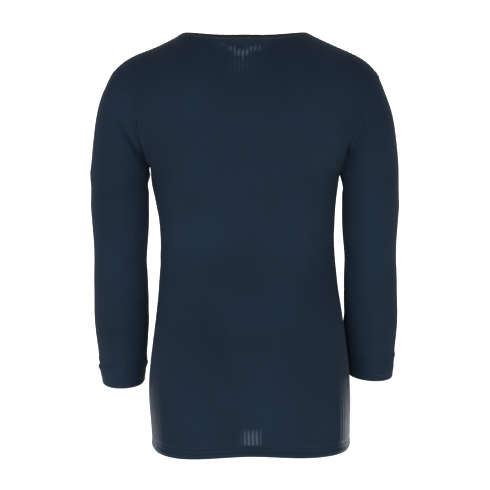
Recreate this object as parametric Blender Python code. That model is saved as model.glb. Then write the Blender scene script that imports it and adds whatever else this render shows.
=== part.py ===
"""A long-sleeved rib-knit thermal top, hollow, in the form it has when it is worn.

Metres, +Z up, +X to the wearer's right, +Y to the wearer's front. The origin lies midway between
the two points where the shoulders meet the neck edge. Every piece is a closed wall of cloth: an
outer grid of points, with the ribs raised on every second column, over a plain inner grid.
"""

import math
from collections import namedtuple

import bmesh
import bpy
import numpy as np

# Cloth
WALL = 0.0011  # thickness between two ribs
RIB_RISE = 0.0007  # height of a rib above the cloth between ribs
SEAM_GAP = 0.0003  # clear space between two sewn pieces
SLEEVE_GAP = 0.0004  # the same at the armhole, measured along X
RIB_FADE = 0.06  # share of a half panel over which the ribs flatten towards its side seam
NAVY = (0.0160, 0.0273, 0.0452)  # linear colour
BINDING_NAVY = (0.0130, 0.0212, 0.0356)
KNIT_ROUGHNESS = 0.85
BINDING_ROUGHNESS = 0.8

# Columns of points: two for each rib on the outside, fewer on the inside
QUARTER_POINTS = 800
PANEL_RIBS = 62
PANEL_HALF = PANEL_RIBS  # columns from the centre line to the side seam
PANEL_INNER_STEP = 4  # outer columns to one inner column
NECK_COLUMN = 30  # columns from the centre line to the neck point
SLEEVE_RIBS = 40
SLEEVE_INNER_STEP = 5

# Torso sections, from the hem up to the underarm
Section = namedtuple("Section", "z half_width back front squareness lean")
TORSO = (
    Section(-0.720, 0.1722, 0.1120, 0.1000, 3.0, 0.0107),
    Section(-0.604, 0.1752, 0.1170, 0.0980, 2.8, 0.0075),
    Section(-0.505, 0.1643, 0.1060, 0.0960, 2.6, 0.0074),
    Section(-0.393, 0.1525, 0.0970, 0.0990, 2.5, 0.0046),
    Section(-0.305, 0.1561, 0.1120, 0.1142, 2.4, 0.0026),
    Section(-0.247, 0.1660, 0.1150, 0.1170, 2.3, 0.0000),
)

# Turned hem
HEM_HEIGHT = 0.021
HEM_STEP = 0.0015  # height over which the turned edge thins to the single cloth
HEM_WALL = 0.0022
HEM_FADE_TOP = -0.505  # above this height a section is level
HemDrop = namedtuple("HemDrop", "across drop")
BACK_HEM = (
    HemDrop(-1.00, -0.0030),
    HemDrop(-0.85, 0.0050),
    HemDrop(-0.55, 0.0145),
    HemDrop(0.00, 0.0085),
    HemDrop(0.50, 0.0115),
    HemDrop(0.85, 0.0025),
    HemDrop(1.00, -0.0045),
)
FRONT_HEM = (
    HemDrop(-1.00, -0.0030),
    HemDrop(0.00, 0.0010),
    HemDrop(1.00, -0.0045),
)

# Shoulders and armholes
YOKE_BANDS = 8  # bands of faces from the underarm up to the shoulder seam
YOKE_SPREAD = 0.150  # how much wider than the underarm the shoulder's full section is
REACH_STEPS = 12  # times the height of the neck edge is worked out again
SHOULDER_ROLL = 2.3  # squareness of the roll over the shoulder, seen from the side
SHOULDER_SLOPE = 0.44
SHOULDER_RUN = 0.120  # from the neck point out to the shoulder's end
SHOULDER_ROUND = 0.0200  # extra drop at the shoulder's end
SHOULDER_ROUND_POWER = 6
SLACK_AT = -0.157  # the left shoulder sinks a little where no arm fills it, at this x
SLACK_WIDTH = 0.034
SLACK_DEPTH = 0.0034

# Neck
NECK_HALF_WIDTH = 0.118
NECK_POINT_Z = -0.0055
NECK_RISE = 0.028  # how far the shoulder line would rise over the neck opening
NECK_EVENNESS = 0.4  # 1 keeps the ribs straight up to the neck edge, 0 spaces them along it
NECK_ROLL_POWER = 2.8  # how far out the panel's centre_roll reaches before it blends away
# Binding section: distance up from the neck edge, and out from the panel's outer face
BindingPoint = namedtuple("BindingPoint", "up out")
BINDING_SECTION = (
    BindingPoint(0.0004, 0.0004),
    BindingPoint(0.0078, 0.0007),
    BindingPoint(0.0090, -0.0005),
    BindingPoint(0.0078, -0.0017),
    BindingPoint(0.0004, -0.0014),
)

# A panel's own values
Panel = namedtuple("Panel", "name sign depth neck_depth neck_squareness centre_roll hem")
BACK = Panel("back_panel", -1, "back", 0.0675, 2.4, 2.2, BACK_HEM)
FRONT = Panel("front_panel", 1, "front", 0.085, 3.1, 1.7, FRONT_HEM)

# Sleeves: sections by distance down the arm from the level where the tube is whole
TUBE_TOP = -0.300
TUBE_Y = -0.006
HEAD_STEPS = (0.0, 0.25, 0.5, 0.75, 1.0)
HEAD_DROP_UNDER = 0.012  # how soon the sleeve head turns down under the arm
ELBOW_START = 0.050
ELBOW_END = 0.150
ArmSection = namedtuple("ArmSection", "along centre_x half_width half_depth")
ARM = (
    ArmSection(0.000, 0.2206, 0.0501, 0.0570),
    ArmSection(0.048, 0.2188, 0.0475, 0.0540),
    ArmSection(0.093, 0.2190, 0.0448, 0.0495),
    ArmSection(0.145, 0.2186, 0.0468, 0.0485),
    ArmSection(0.200, 0.2182, 0.0468, 0.0465),
    ArmSection(0.245, 0.2172, 0.0448, 0.0432),
    ArmSection(0.283, 0.2160, 0.0411, 0.0397),
    ArmSection(0.325, 0.2145, 0.0368, 0.0360),
)
SEAM_ALONG = 0.283
CUFF_ROWS = (0.0, 0.5, 1.0)
CUFF_LENGTH = 0.042
CUFF_WALL = 0.0020
CUFF_BULGE = 0.0012  # the gathered cloth stands out at the middle of the cuff
# head_drop: the same at the shoulder; tip: slope of the cuff's edge, down towards its outer side
Sleeve = namedtuple("Sleeve", "name cuff side bend wrist_out taken_up head_drop tip")
SLEEVES = (
    Sleeve("left_sleeve", "left_cuff", -1, math.radians(15), 0.003, -0.0015, 0.052, 0.025),
    Sleeve("right_sleeve", "right_cuff", 1, math.radians(12), 0.011, 0.0213, 0.060, 0.100),
)

# The largest folds: a soft trough along the line from start to end, moved in by push
Fold = namedtuple("Fold", "start end width push")
FOLDS = (
    Fold((-0.206, -0.064, -0.160), (-0.169, -0.048, -0.238), 0.011, (0.0015, 0.0050, 0.0)),
    Fold((-0.176, -0.086, -0.150), (-0.166, -0.052, -0.228), 0.009, (0.0010, 0.0035, 0.0)),
    Fold((0.202, -0.066, -0.162), (0.173, -0.050, -0.236), 0.011, (-0.0015, 0.0050, 0.0)),
    Fold((0.177, -0.084, -0.168), (0.168, -0.050, -0.242), 0.009, (-0.0010, 0.0040, 0.0)),
    Fold((-0.200, 0.066, -0.165), (-0.170, 0.048, -0.240), 0.012, (0.0015, -0.0045, 0.0)),
    Fold((0.204, 0.066, -0.158), (0.171, 0.050, -0.238), 0.012, (-0.0015, -0.0045, 0.0)),
    Fold((-0.250, 0.030, -0.384), (-0.190, 0.036, -0.400), 0.012, (0.0, -0.0045, 0.0)),
    Fold((0.192, 0.036, -0.380), (0.250, 0.030, -0.396), 0.012, (0.0, -0.0050, 0.0)),
)


def clear_scene():
    """Take out what the file opened with."""
    for thing in list(bpy.data.objects):
        bpy.data.objects.remove(thing, do_unlink=True)


def smooth(places, values, at):
    """A curve through a table's rows: cubic pieces that share their slope at each row."""
    places = np.asarray(places, float)
    values = np.asarray(values, float)
    slopes = np.gradient(values, places)
    at = np.clip(at, places[0], places[-1])
    left = np.clip(np.searchsorted(places, at, side="right") - 1, 0, len(places) - 2)
    span = places[left + 1] - places[left]
    t = (at - places[left]) / span
    return (
        (1 + 2 * t) * (1 - t) ** 2 * values[left]
        + t * (1 - t) ** 2 * span * slopes[left]
        + t**2 * (3 - 2 * t) * values[left + 1]
        - t**2 * (1 - t) * span * slopes[left + 1]
    )


def column(table, name):
    """One named column of a table."""
    return [getattr(row, name) for row in table]


def quarter(half_width, depth, squareness):
    """A superellipse's quarter from the centre line out: x, y and the share of its length."""
    angle = np.linspace(0.0, math.pi / 2, QUARTER_POINTS)
    x = half_width * np.sin(angle) ** (2 / squareness)
    y = depth * np.cos(angle) ** (2 / squareness)
    length = np.concatenate([[0.0], np.cumsum(np.hypot(np.diff(x), np.diff(y)))])
    return x, y, length / length[-1]


def quarter_at(shares, half_width, depth, squareness):
    """Points at given shares of the length of a superellipse's quarter."""
    x, y, share = quarter(half_width, depth, squareness)
    return np.interp(shares, share, x), np.interp(shares, share, y)


def folded(points):
    """Points moved by every fold whose trough they lie in."""
    moved = points.copy()
    for fold in FOLDS:
        start, end = np.array(fold.start), np.array(fold.end)
        run = end - start
        share = np.clip(((points - start) @ run) / (run @ run), 0.0, 1.0)
        nearest = start + share[..., None] * run
        distance = np.linalg.norm(points - nearest, axis=-1)
        trough = np.exp(-((distance / fold.width) ** 2))
        moved += trough[..., None] * np.array(fold.push)
    return moved


def unit(vectors):
    """Vectors brought to length 1."""
    return vectors / np.linalg.norm(vectors, axis=-1, keepdims=True)


def outward(grid, middle, closed):
    """Unit normals of a grid of points, turned away from the line of middle points."""
    if closed:
        across = np.roll(grid, -1, axis=1) - np.roll(grid, 1, axis=1)
    else:
        across = np.gradient(grid, axis=1)
    normal = unit(np.cross(across, np.gradient(grid, axis=0)))
    facing = np.sum(normal * (grid - middle), axis=-1).mean()
    return normal if facing > 0 else -normal


def panel_across():
    """Each column's place across a panel, from -1 at the left seam to 1 at the right."""
    return np.arange(-PANEL_HALF, PANEL_HALF + 1) / PANEL_HALF


def torso_levels():
    """Heights of a panel's rows up to the underarm, the turned hem first."""
    hem = TORSO[0].z
    return [hem, hem + HEM_HEIGHT, hem + HEM_HEIGHT + HEM_STEP] + column(TORSO[1:], "z")


def torso_row(panel, z):
    """A panel's row of points at one height below the underarm."""
    levels = column(TORSO, "z")
    half_width = smooth(levels, column(TORSO, "half_width"), z)
    depth = smooth(levels, column(TORSO, panel.depth), z)
    squareness = smooth(levels, column(TORSO, "squareness"), z)
    lean = smooth(levels, column(TORSO, "lean"), z)
    across = panel_across()
    x, y = quarter_at(np.abs(across), half_width, depth, squareness)
    hem_share = np.clip((HEM_FADE_TOP - z) / (HEM_FADE_TOP - TORSO[0].z), 0.0, 1.0)
    drop = smooth(column(panel.hem, "across"), column(panel.hem, "drop"), across)
    return np.stack([np.sign(across) * x + lean, panel.sign * y, z - hem_share * drop], axis=-1)


def neck_share(panel, straight):
    """Places along the neck edge's length for columns that are evenly spaced in straight."""
    x, _, share = quarter(NECK_HALF_WIDTH, panel.neck_depth, panel.neck_squareness)
    below = np.interp(straight * NECK_HALF_WIDTH, x, share)
    return NECK_EVENNESS * below + (1 - NECK_EVENNESS) * straight


def top_edge(panel):
    """A panel's top edge seen from above, its x from the centre line out."""
    columns = np.abs(panel_across()) * PANEL_HALF
    straight = np.clip(columns / NECK_COLUMN, 0.0, 1.0)
    places = neck_share(panel, straight)
    x, y = quarter_at(places, NECK_HALF_WIDTH, panel.neck_depth, panel.neck_squareness)
    y[columns >= NECK_COLUMN] = 0.0
    run = np.clip(columns - NECK_COLUMN, 0, None) / (PANEL_HALF - NECK_COLUMN)
    return x + SHOULDER_RUN * run, y


def shoulder_line(x):
    """Height of the shoulders at a distance out from the middle, carried on over the neck."""
    run = np.clip((x - NECK_HALF_WIDTH) / SHOULDER_RUN, 0, None)
    fall = SHOULDER_SLOPE * SHOULDER_RUN * run + SHOULDER_ROUND * run**SHOULDER_ROUND_POWER
    rise = NECK_RISE * np.clip(1 - (x / NECK_HALF_WIDTH) ** 2, 0, 1)
    return NECK_POINT_Z + rise - fall


def full_section(panel, x, height):
    """Depth, at a distance out from the middle, of the body and sleeve heads before the roll."""
    underarm = TORSO[-1]
    half_width = underarm.half_width + YOKE_SPREAD * height
    inside = 1 - np.clip(x / half_width, 0, 1) ** underarm.squareness
    return getattr(underarm, panel.depth) * inside ** (1 / underarm.squareness)


def yoke_row(panel, share):
    """A panel's row of points above the underarm; share is 1 at the shoulder seam and neck."""
    underarm = TORSO[-1]
    across = panel_across()
    depth = getattr(underarm, panel.depth)
    base_x, _ = quarter_at(np.abs(across), underarm.half_width, depth, underarm.squareness)
    top_x, top_y = top_edge(panel)
    over_neck = np.clip(1 - (top_x / NECK_HALF_WIDTH) ** NECK_ROLL_POWER, 0, 1) ** 2
    roll = SHOULDER_ROLL + (panel.centre_roll - SHOULDER_ROLL) * over_neck
    reach = np.ones(len(across))  # the height share at which the body meets the top edge
    for _ in range(REACH_STEPS):
        reach = (1 - (top_y / full_section(panel, top_x, reach)) ** roll) ** (1 / roll)
    height = reach * share
    x = base_x + (top_x - base_x) * share
    y = full_section(panel, x, height) * np.clip(1 - height**roll, 0, 1) ** (1 / roll)
    x_signed = np.sign(across) * x
    slack = SLACK_DEPTH * np.exp(-(((x_signed - SLACK_AT) / SLACK_WIDTH) ** 2))
    z = underarm.z + (shoulder_line(x) - slack - underarm.z) * height
    return np.stack([x_signed, panel.sign * y, z], axis=-1)


def panel_grid(panel):
    """A panel's points, rows from the hem to the shoulder seam and neck edge."""
    rows = [torso_row(panel, z) for z in torso_levels()]
    for band in range(1, YOKE_BANDS + 1):
        share = 0.5 - 0.5 * math.cos(math.pi * band / YOKE_BANDS)
        rows.append(yoke_row(panel, share))
    grid = folded(np.array(rows))
    grid[..., 1] += panel.sign * SEAM_GAP / 2
    return grid


def panel_normals(grid):
    """A panel's normals, kept in the seam's plane along the side and shoulder seams."""
    middle = grid * np.array([0.0, 0.0, 1.0])
    normal = outward(grid, middle, closed=False)
    normal[-1] = normal[-2]  # the top edge turns a corner, and the row below it doesn't
    underarm_row = len(grid) - 1 - YOKE_BANDS
    on_seam = np.zeros(grid.shape[:2], bool)
    on_seam[: underarm_row + 1, [0, -1]] = True
    on_seam[-1] = np.abs(panel_across()) * PANEL_HALF >= NECK_COLUMN
    normal[on_seam, 1] = 0.0
    return unit(normal)


def raised(grid, normal, strength):
    """The outer points of a wall: every second column lifted to the top of a rib."""
    rib = np.arange(grid.shape[1]) % 2
    return grid + (RIB_RISE * strength * rib)[..., None] * normal


def edge_strip(outer, inner, step):
    """Triangles that close one edge of a wall, between runs of outer and inner points."""
    faces = []
    for i in range(len(inner) - 1):
        first, middle, last = i * step, i * step + step // 2, (i + 1) * step
        faces += [(inner[i], outer[k], outer[k + 1]) for k in range(first, middle)]
        faces.append((inner[i], outer[middle], inner[i + 1]))
        faces += [(inner[i + 1], outer[k], outer[k + 1]) for k in range(middle, last)]
    return faces


def grid_faces(index):
    """Two triangles for each cell of a grid of point numbers."""
    a, b = index[:-1, :-1].ravel(), index[:-1, 1:].ravel()
    c, d = index[1:, 1:].ravel(), index[1:, :-1].ravel()
    return [tuple(face) for face in np.concatenate([np.stack([a, b, c], 1), np.stack([a, c, d], 1)])]


def numbered(first, rows, columns, closed):
    """Point numbers for a grid of points, its first column repeated at the end of a closed one."""
    index = first + np.arange(rows * columns).reshape(rows, columns)
    return np.hstack([index, index[:, :1]]) if closed else index


def add_tube_wall(name, outer, inner, finish):
    """A closed tube's wall between an outer grid and a coarser inner grid with the same rows."""
    outer_index = numbered(0, *outer.shape[:2], True)
    inner_index = numbered(outer[..., 0].size, *inner.shape[:2], True)
    faces = grid_faces(outer_index) + grid_faces(inner_index)
    for row in (0, -1):
        faces += edge_strip(outer_index[row], inner_index[row], SLEEVE_INNER_STEP)
    add_piece(name, np.concatenate([outer.reshape(-1, 3), inner.reshape(-1, 3)]), faces, finish)


def add_panel_wall(name, outer, inner, finish):
    """A panel's wall; its inner points are coarse but for the last row, along the neck and shoulder."""
    coarse = inner[:-1, ::PANEL_INNER_STEP]
    outer_index = numbered(0, *outer.shape[:2], False)
    coarse_index = numbered(outer[..., 0].size, *coarse.shape[:2], False)
    top_index = coarse_index.max() + 1 + np.arange(inner.shape[1])
    faces = grid_faces(outer_index) + grid_faces(coarse_index)
    faces += edge_strip(outer_index[0], coarse_index[0], PANEL_INNER_STEP)
    faces += edge_strip(top_index, coarse_index[-1], PANEL_INNER_STEP)
    faces += grid_faces(np.stack([outer_index[-1], top_index]))
    for side in (0, -1):
        behind = np.append(coarse_index[:, side], top_index[side])
        faces += grid_faces(np.stack([outer_index[:, side], behind], axis=1))
    points = np.concatenate([outer.reshape(-1, 3), coarse.reshape(-1, 3), inner[-1]])
    add_piece(name, points, faces, finish)


def add_piece(name, points, faces, finish):
    """One named object from points and triangles, its faces turned outward."""
    mesh = bpy.data.meshes.new(name)
    mesh.from_pydata(points.tolist(), [], [tuple(int(i) for i in face) for face in faces])
    turn_outward(mesh)
    mesh.materials.append(finish)
    bpy.context.scene.collection.objects.link(bpy.data.objects.new(name, mesh))


def turn_outward(mesh):
    """Make every face of a closed mesh point out."""
    shape = bmesh.new()
    shape.from_mesh(mesh)
    bmesh.ops.recalc_face_normals(shape, faces=shape.faces)
    shape.to_mesh(mesh)
    shape.free()


def knit(name, colour, roughness):
    """A Principled material for one piece of cloth."""
    material = bpy.data.materials.new(name)
    material.use_nodes = True
    shader = material.node_tree.nodes["Principled BSDF"]
    shader.inputs["Base Color"].default_value = (*colour, 1.0)
    shader.inputs["Roughness"].default_value = roughness
    shader.inputs["Metallic"].default_value = 0.0
    return material


def add_panel(panel):
    """The back or the front, hem turned inside. Returns its grid, for the pieces sewn to it."""
    grid = panel_grid(panel)
    normal = panel_normals(grid)
    strength = np.ones(grid.shape[:2])
    strength *= np.clip((1 - np.abs(panel_across())) / RIB_FADE, 0, 1)
    strength[-1] = 0.0
    outer = raised(grid, normal, strength)
    thickness = np.full(len(grid), WALL)
    thickness[:2] = HEM_WALL
    inner = grid - thickness[:, None, None] * normal
    add_panel_wall(panel.name, outer, inner, knit(panel.name, NAVY, KNIT_ROUGHNESS))
    return grid


def armhole_ring(back, front, side):
    """Values along the armhole's edge as a closed ring, from the shoulder's end round by the back."""
    edge = -1 if side > 0 else 0
    behind = back[-1 - YOKE_BANDS :, edge][::-1]
    ahead = front[-1 - YOKE_BANDS :, edge]
    corners = np.concatenate([behind, ahead[1:]])
    corners[0] = corners[-1] = (behind[0] + ahead[-1]) / 2
    corners[YOKE_BANDS] = (behind[-1] + ahead[0]) / 2
    places = np.linspace(0, len(corners) - 1, SLEEVE_RIBS * 2, endpoint=False)
    return np.stack([np.interp(places, np.arange(len(corners)), corners[:, i]) for i in range(3)], 1)


def arm_line(sleeve, along):
    """Centre, sideways and rearward directions of the sleeve at distances down the arm."""
    fine = np.linspace(0.0, ARM[-1].along, 400)
    turn = np.clip((fine - ELBOW_START) / (ELBOW_END - ELBOW_START), 0.0, 1.0)
    tilt = sleeve.bend * turn**2 * (3 - 2 * turn)
    step = np.gradient(fine)
    shortened = 1 - sleeve.taken_up * turn / ARM[-1].along
    y = TUBE_Y + np.cumsum(np.sin(tilt) * step) - np.sin(tilt[0]) * step[0]
    z = TUBE_TOP - np.cumsum(np.cos(tilt) * step * shortened) + step[0]
    x = smooth(column(ARM, "along"), column(ARM, "centre_x"), fine)
    x = sleeve.side * (x + sleeve.wrist_out * (fine / fine[-1]) ** 2)
    line = np.stack([x, y, z], axis=1)
    direction = np.gradient(line, fine, axis=0)
    direction /= np.linalg.norm(direction, axis=1, keepdims=True)
    along_line = np.stack([np.interp(along, fine, line[:, i]) for i in range(3)], 1)
    heading = np.stack([np.interp(along, fine, direction[:, i]) for i in range(3)], 1)
    sideways = np.array([float(sleeve.side), 0.0, 0.0]) - sleeve.side * heading[:, :1] * heading
    sideways /= np.linalg.norm(sideways, axis=1, keepdims=True)
    rearward = np.cross(heading, sideways) * sleeve.side
    return along_line, sideways, rearward


def tube_rings(sleeve, along, swell=0.0):
    """Rings of points round the arm at distances down it."""
    along = np.asarray(along, float)
    centre, sideways, rearward = arm_line(sleeve, along)
    places = column(ARM, "along")
    half_width = smooth(places, column(ARM, "half_width"), along) + swell
    half_depth = smooth(places, column(ARM, "half_depth"), along) + swell
    angle = np.linspace(0.0, 2 * math.pi, SLEEVE_RIBS * 2, endpoint=False)
    outward_part = half_width[:, None] * np.cos(angle)
    rings = (
        centre[:, None]
        + outward_part[..., None] * sideways[:, None]
        + (half_depth[:, None] * np.sin(angle))[..., None] * rearward[:, None]
    )
    rings[..., 2] -= sleeve.tip * (along[:, None] / ARM[-1].along) ** 2 * outward_part
    return rings


def topness(count):
    """For each point of a ring round the arm: 1 at the shoulder's end, 0 under the arm."""
    return 0.5 + 0.5 * np.cos(np.linspace(0.0, 2 * math.pi, count, endpoint=False))


def head_rows(sleeve, ring, tube_top):
    """Rows from the armhole down to the whole tube: curves that start down its edge and end plumb."""
    drop = HEAD_DROP_UNDER + (sleeve.head_drop - HEAD_DROP_UNDER) * topness(len(ring))
    bend = tube_top.copy()
    bend[:, 2] = ring[:, 2] - drop
    return [(1 - t) ** 2 * ring + 2 * t * (1 - t) * bend + t**2 * tube_top for t in HEAD_STEPS]


def add_sleeve(sleeve, back, front):
    """A sleeve from the armhole to the cuff seam, and its cuff."""
    ring = armhole_ring(back, front, sleeve.side)
    ring[:, 0] += sleeve.side * SLEEVE_GAP
    facing = unit(armhole_ring(panel_normals(back), panel_normals(front), sleeve.side))
    lower = [row.along for row in ARM if row.along <= SEAM_ALONG]
    tubes = tube_rings(sleeve, lower)
    head = head_rows(sleeve, ring, tubes[0])
    grid = np.array(head + list(tubes[1:]))
    grid[1:] = folded(grid[1:])
    normal = outward(grid, grid.mean(axis=1, keepdims=True), closed=True)
    share = topness(len(ring))[:, None]  # over the arm the sleeve head runs on from the panels
    normal[0] = unit(share * facing + (1 - share) * normal[0])
    add_tube(sleeve.name, grid, normal, WALL)
    start = SEAM_ALONG + SEAM_GAP
    places = start + np.array(CUFF_ROWS) * CUFF_LENGTH
    swell = CUFF_BULGE * np.sin(np.array(CUFF_ROWS) * math.pi)
    cuff = tube_rings(sleeve, places, swell)
    normal = outward(cuff, cuff.mean(axis=1, keepdims=True), closed=True)
    add_tube(sleeve.cuff, cuff, normal, CUFF_WALL)


def add_tube(name, grid, normal, thickness):
    """A ribbed tube of cloth, its ribs flat at both ends."""
    strength = np.ones(grid.shape[:2])
    strength[[0, -1]] = 0.0
    outer = raised(grid, normal, strength)
    inner = (grid - thickness * normal)[:, ::SLEEVE_INNER_STEP]
    add_tube_wall(name, outer, inner, knit(name, NAVY, KNIT_ROUGHNESS))


def neck_ring(behind, ahead):
    """Values along the panels' neck edges as one closed ring, from the left neck point round the back."""
    first, last = PANEL_HALF - NECK_COLUMN, PANEL_HALF + NECK_COLUMN
    behind = behind[-1, first : last + 1].copy()
    ahead = ahead[-1, first : last + 1]
    behind[[0, -1]] = (behind[[0, -1]] + ahead[[0, -1]]) / 2
    return np.concatenate([behind, ahead[-2:0:-1]])


def add_binding(back, front):
    """The narrow binding that stands on the neck edge all round."""
    ring = neck_ring(back, front)
    out = neck_ring(panel_normals(back), panel_normals(front))
    along = unit(np.roll(ring, -1, axis=0) - np.roll(ring, 1, axis=0))
    up = unit(np.cross(out, along))
    rows = [ring + point.up * up + point.out * out for point in BINDING_SECTION]
    index = np.arange(len(rows) * len(ring)).reshape(len(rows), len(ring))
    index = np.vstack([index, index[:1]])
    index = np.hstack([index, index[:, :1]])
    finish = knit("neck_binding", BINDING_NAVY, BINDING_ROUGHNESS)
    add_piece("neck_binding", np.concatenate(rows), grid_faces(index), finish)


def main():
    """Build the top: two panels, two sleeves with cuffs, and the neck binding."""
    clear_scene()
    back = add_panel(BACK)
    front = add_panel(FRONT)
    for sleeve in SLEEVES:
        add_sleeve(sleeve, back, front)
    add_binding(back, front)


main()
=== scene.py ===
"""A long-sleeved thermal top in rib knit, hollow and in its worn form, open at neck, hem and cuffs.

Metres, +Z up, +X to the wearer's right, +Y to the wearer's front. The origin lies midway between
the two points where the shoulder seams meet the neck edge.
"""

from __future__ import annotations

import logging
import math
from dataclasses import dataclass
from enum import Enum

import bpy
import numpy as np
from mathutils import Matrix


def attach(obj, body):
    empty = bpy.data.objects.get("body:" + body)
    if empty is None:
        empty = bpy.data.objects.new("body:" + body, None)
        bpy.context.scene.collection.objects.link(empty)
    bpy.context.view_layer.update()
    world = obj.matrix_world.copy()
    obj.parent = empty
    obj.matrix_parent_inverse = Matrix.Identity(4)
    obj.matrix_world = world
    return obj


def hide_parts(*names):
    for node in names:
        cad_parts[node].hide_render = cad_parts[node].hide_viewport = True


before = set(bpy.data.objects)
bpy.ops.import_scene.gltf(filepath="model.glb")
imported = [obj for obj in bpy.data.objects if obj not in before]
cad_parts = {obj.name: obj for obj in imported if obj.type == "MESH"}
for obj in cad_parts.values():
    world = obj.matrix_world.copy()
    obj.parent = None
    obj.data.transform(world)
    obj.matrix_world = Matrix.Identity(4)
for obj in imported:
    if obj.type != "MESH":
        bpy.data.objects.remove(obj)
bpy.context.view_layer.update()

LOG = logging.getLogger("thermal_top")
MM = 0.001

# Places and directions are arrays whose last axis is x, y, z.
Points = np.ndarray


class Half(Enum):
    """The two body panels, by the side of the wearer that they lie on."""

    BACK = -1
    FRONT = 1


class Arm(Enum):
    """The two sleeves, by the sign of their x."""

    LEFT = -1
    RIGHT = 1


# ---------------------------------------------------------------- curves and grids


def through(places: list[float], values: list[float], at: np.ndarray | float) -> np.ndarray:
    """Cubic pieces through a table's rows, which share their slope at each row.

    Args:
        places: where the rows lie, rising.
        values: the rows' values.
        at: where values are wanted; past the ends it holds the end value.

    Returns:
        The curve's values at those places.
    """
    x = np.asarray(places, float)
    y = np.asarray(values, float)
    slope = np.gradient(y, x)
    at = np.clip(at, x[0], x[-1])
    k = np.clip(np.searchsorted(x, at, side="right") - 1, 0, len(x) - 2)
    span = x[k + 1] - x[k]
    t = (at - x[k]) / span
    start = (1 + 2 * t) * (1 - t) ** 2 * y[k] + t * (1 - t) ** 2 * span * slope[k]
    end = t**2 * (3 - 2 * t) * y[k + 1] - t**2 * (1 - t) * span * slope[k + 1]
    return start + end


def column(table: tuple, name: str) -> list[float]:
    """One named column of a table of rows."""
    return [getattr(row, name) for row in table]


def looked_up(table: tuple, place: str, value: str, at: np.ndarray) -> np.ndarray:
    """A named value of a table's rows at places between them, by through()."""
    return through(column(table, place), column(table, value), at)


def unit(vectors: Points) -> Points:
    """Vectors brought to length 1."""
    return vectors / np.linalg.norm(vectors, axis=-1, keepdims=True)


def bell(distance: np.ndarray, width: float) -> np.ndarray:
    """A smooth bump, exp(-(distance/width)^2)."""
    return np.exp(-((distance / width) ** 2))


def wobble(at: np.ndarray, lengths: tuple[float, ...], seed: int) -> np.ndarray:
    """An uneven wave between about -1 and 1: the mean of sines of several lengths.

    Args:
        at: places along the wave, in metres.
        lengths: the sines' lengths, in metres.
        seed: picks the sines' phases.

    Returns:
        The wave's height at each place.
    """
    phases = np.random.default_rng(seed).uniform(0, 2 * math.pi, len(lengths))
    waves = [np.sin(2 * math.pi * at / length + p) for length, p in zip(lengths, phases)]
    return np.mean(waves, axis=0)


def quarter_points(shares: np.ndarray, half_width: float, depth: float, power: float) -> tuple:
    """Points on a superellipse's quarter, |x/a|^n + |y/b|^n = 1, at shares of its length.

    Args:
        shares: shares of the length, 0 on the centre line and 1 at the side.
        half_width: a.
        depth: b.
        power: n.

    Returns:
        The points' x and y.
    """
    angle = np.linspace(0.0, math.pi / 2, 600)
    x = half_width * np.sin(angle) ** (2 / power)
    y = depth * np.cos(angle) ** (2 / power)
    length = np.concatenate([[0.0], np.cumsum(np.hypot(np.diff(x), np.diff(y)))])
    return np.interp(shares, length / length[-1], x), np.interp(shares, length / length[-1], y)


def grid_normals(grid: Points, wraps: bool) -> Points:
    """Unit normals of a grid, turned away from the line through the middle of its rows.

    Args:
        grid: rows of points.
        wraps: whether a row closes on itself.

    Returns:
        One normal for each point.
    """
    if wraps:
        across = np.roll(grid, -1, axis=1) - np.roll(grid, 1, axis=1)
        middle = grid.mean(axis=1, keepdims=True)
    else:
        across = np.gradient(grid, axis=1)
        middle = grid * np.array([0.0, 0.0, 1.0])
    normal = unit(np.cross(across, np.gradient(grid, axis=0)))
    return normal if np.sum(normal * (grid - middle)) > 0 else -normal


def arc(points: Points) -> np.ndarray:
    """Distance along a line of points from its first one."""
    step = np.linalg.norm(np.diff(points, axis=0), axis=-1)
    return np.concatenate([[0.0], np.cumsum(step)])


def smoothstep(t: np.ndarray) -> np.ndarray:
    """3t^2 - 2t^3 with t held between 0 and 1."""
    t = np.clip(t, 0.0, 1.0)
    return t * t * (3 - 2 * t)


def seam_depth(z: np.ndarray) -> np.ndarray:
    """How far the cloth sinks in at side and armhole seams: deepest behind and before the arm."""
    everywhere, beside_arm, under_arm = 0.0001, 0.0009, 0.0004
    below = smoothstep((-0.16 - z) / 0.05)
    return everywhere + beside_arm * bell(z + 0.205, 0.035) + under_arm * below


def rib_height(column_number: np.ndarray, columns_per_rib: int) -> np.ndarray:
    """A rib's height, 1 - cos^6: broad round ribs with narrow grooves, a rib at column 0."""
    return 1 - np.cos(math.pi * (column_number / columns_per_rib + 0.5)) ** 6


def plateau(distance: np.ndarray, width: float) -> np.ndarray:
    """A flat-topped bump, exp(-(distance/width)^4)."""
    return np.exp(-((distance / width) ** 4))


def between(at: np.ndarray, ends: tuple, soft: tuple[float, float]) -> np.ndarray:
    """1 between two ends and 0 past them, fading inside each end over its length in soft."""
    return smoothstep((at - ends[0]) / soft[0]) * smoothstep((ends[1] - at) / soft[1])


def closed(ring: Points) -> Points:
    """A ring's points with the first one once more at the end."""
    return np.concatenate([ring, ring[:1]])


def points_at(distance: np.ndarray, along: np.ndarray, line: Points) -> Points:
    """Points of a line at distances along it, straight between its own points.

    Args:
        distance: where points are wanted.
        along: how far along the line each of its own points lies.
        line: its own points.

    Returns:
        One point for each distance.
    """
    return np.stack([np.interp(distance, along, line[:, i]) for i in range(3)], axis=-1)


@dataclass(frozen=True)
class Band:
    """A soft ridge across the cloth, or a trough if rise is below 0: its place, width and rise."""

    place: float
    width: float
    rise: float


def banded(bands: tuple[Band, ...], at: np.ndarray) -> np.ndarray:
    """The sum over the bands of rise * bell(distance from the band's place)."""
    return sum(band.rise * bell(at - band.place, band.width) for band in bands)


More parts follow.
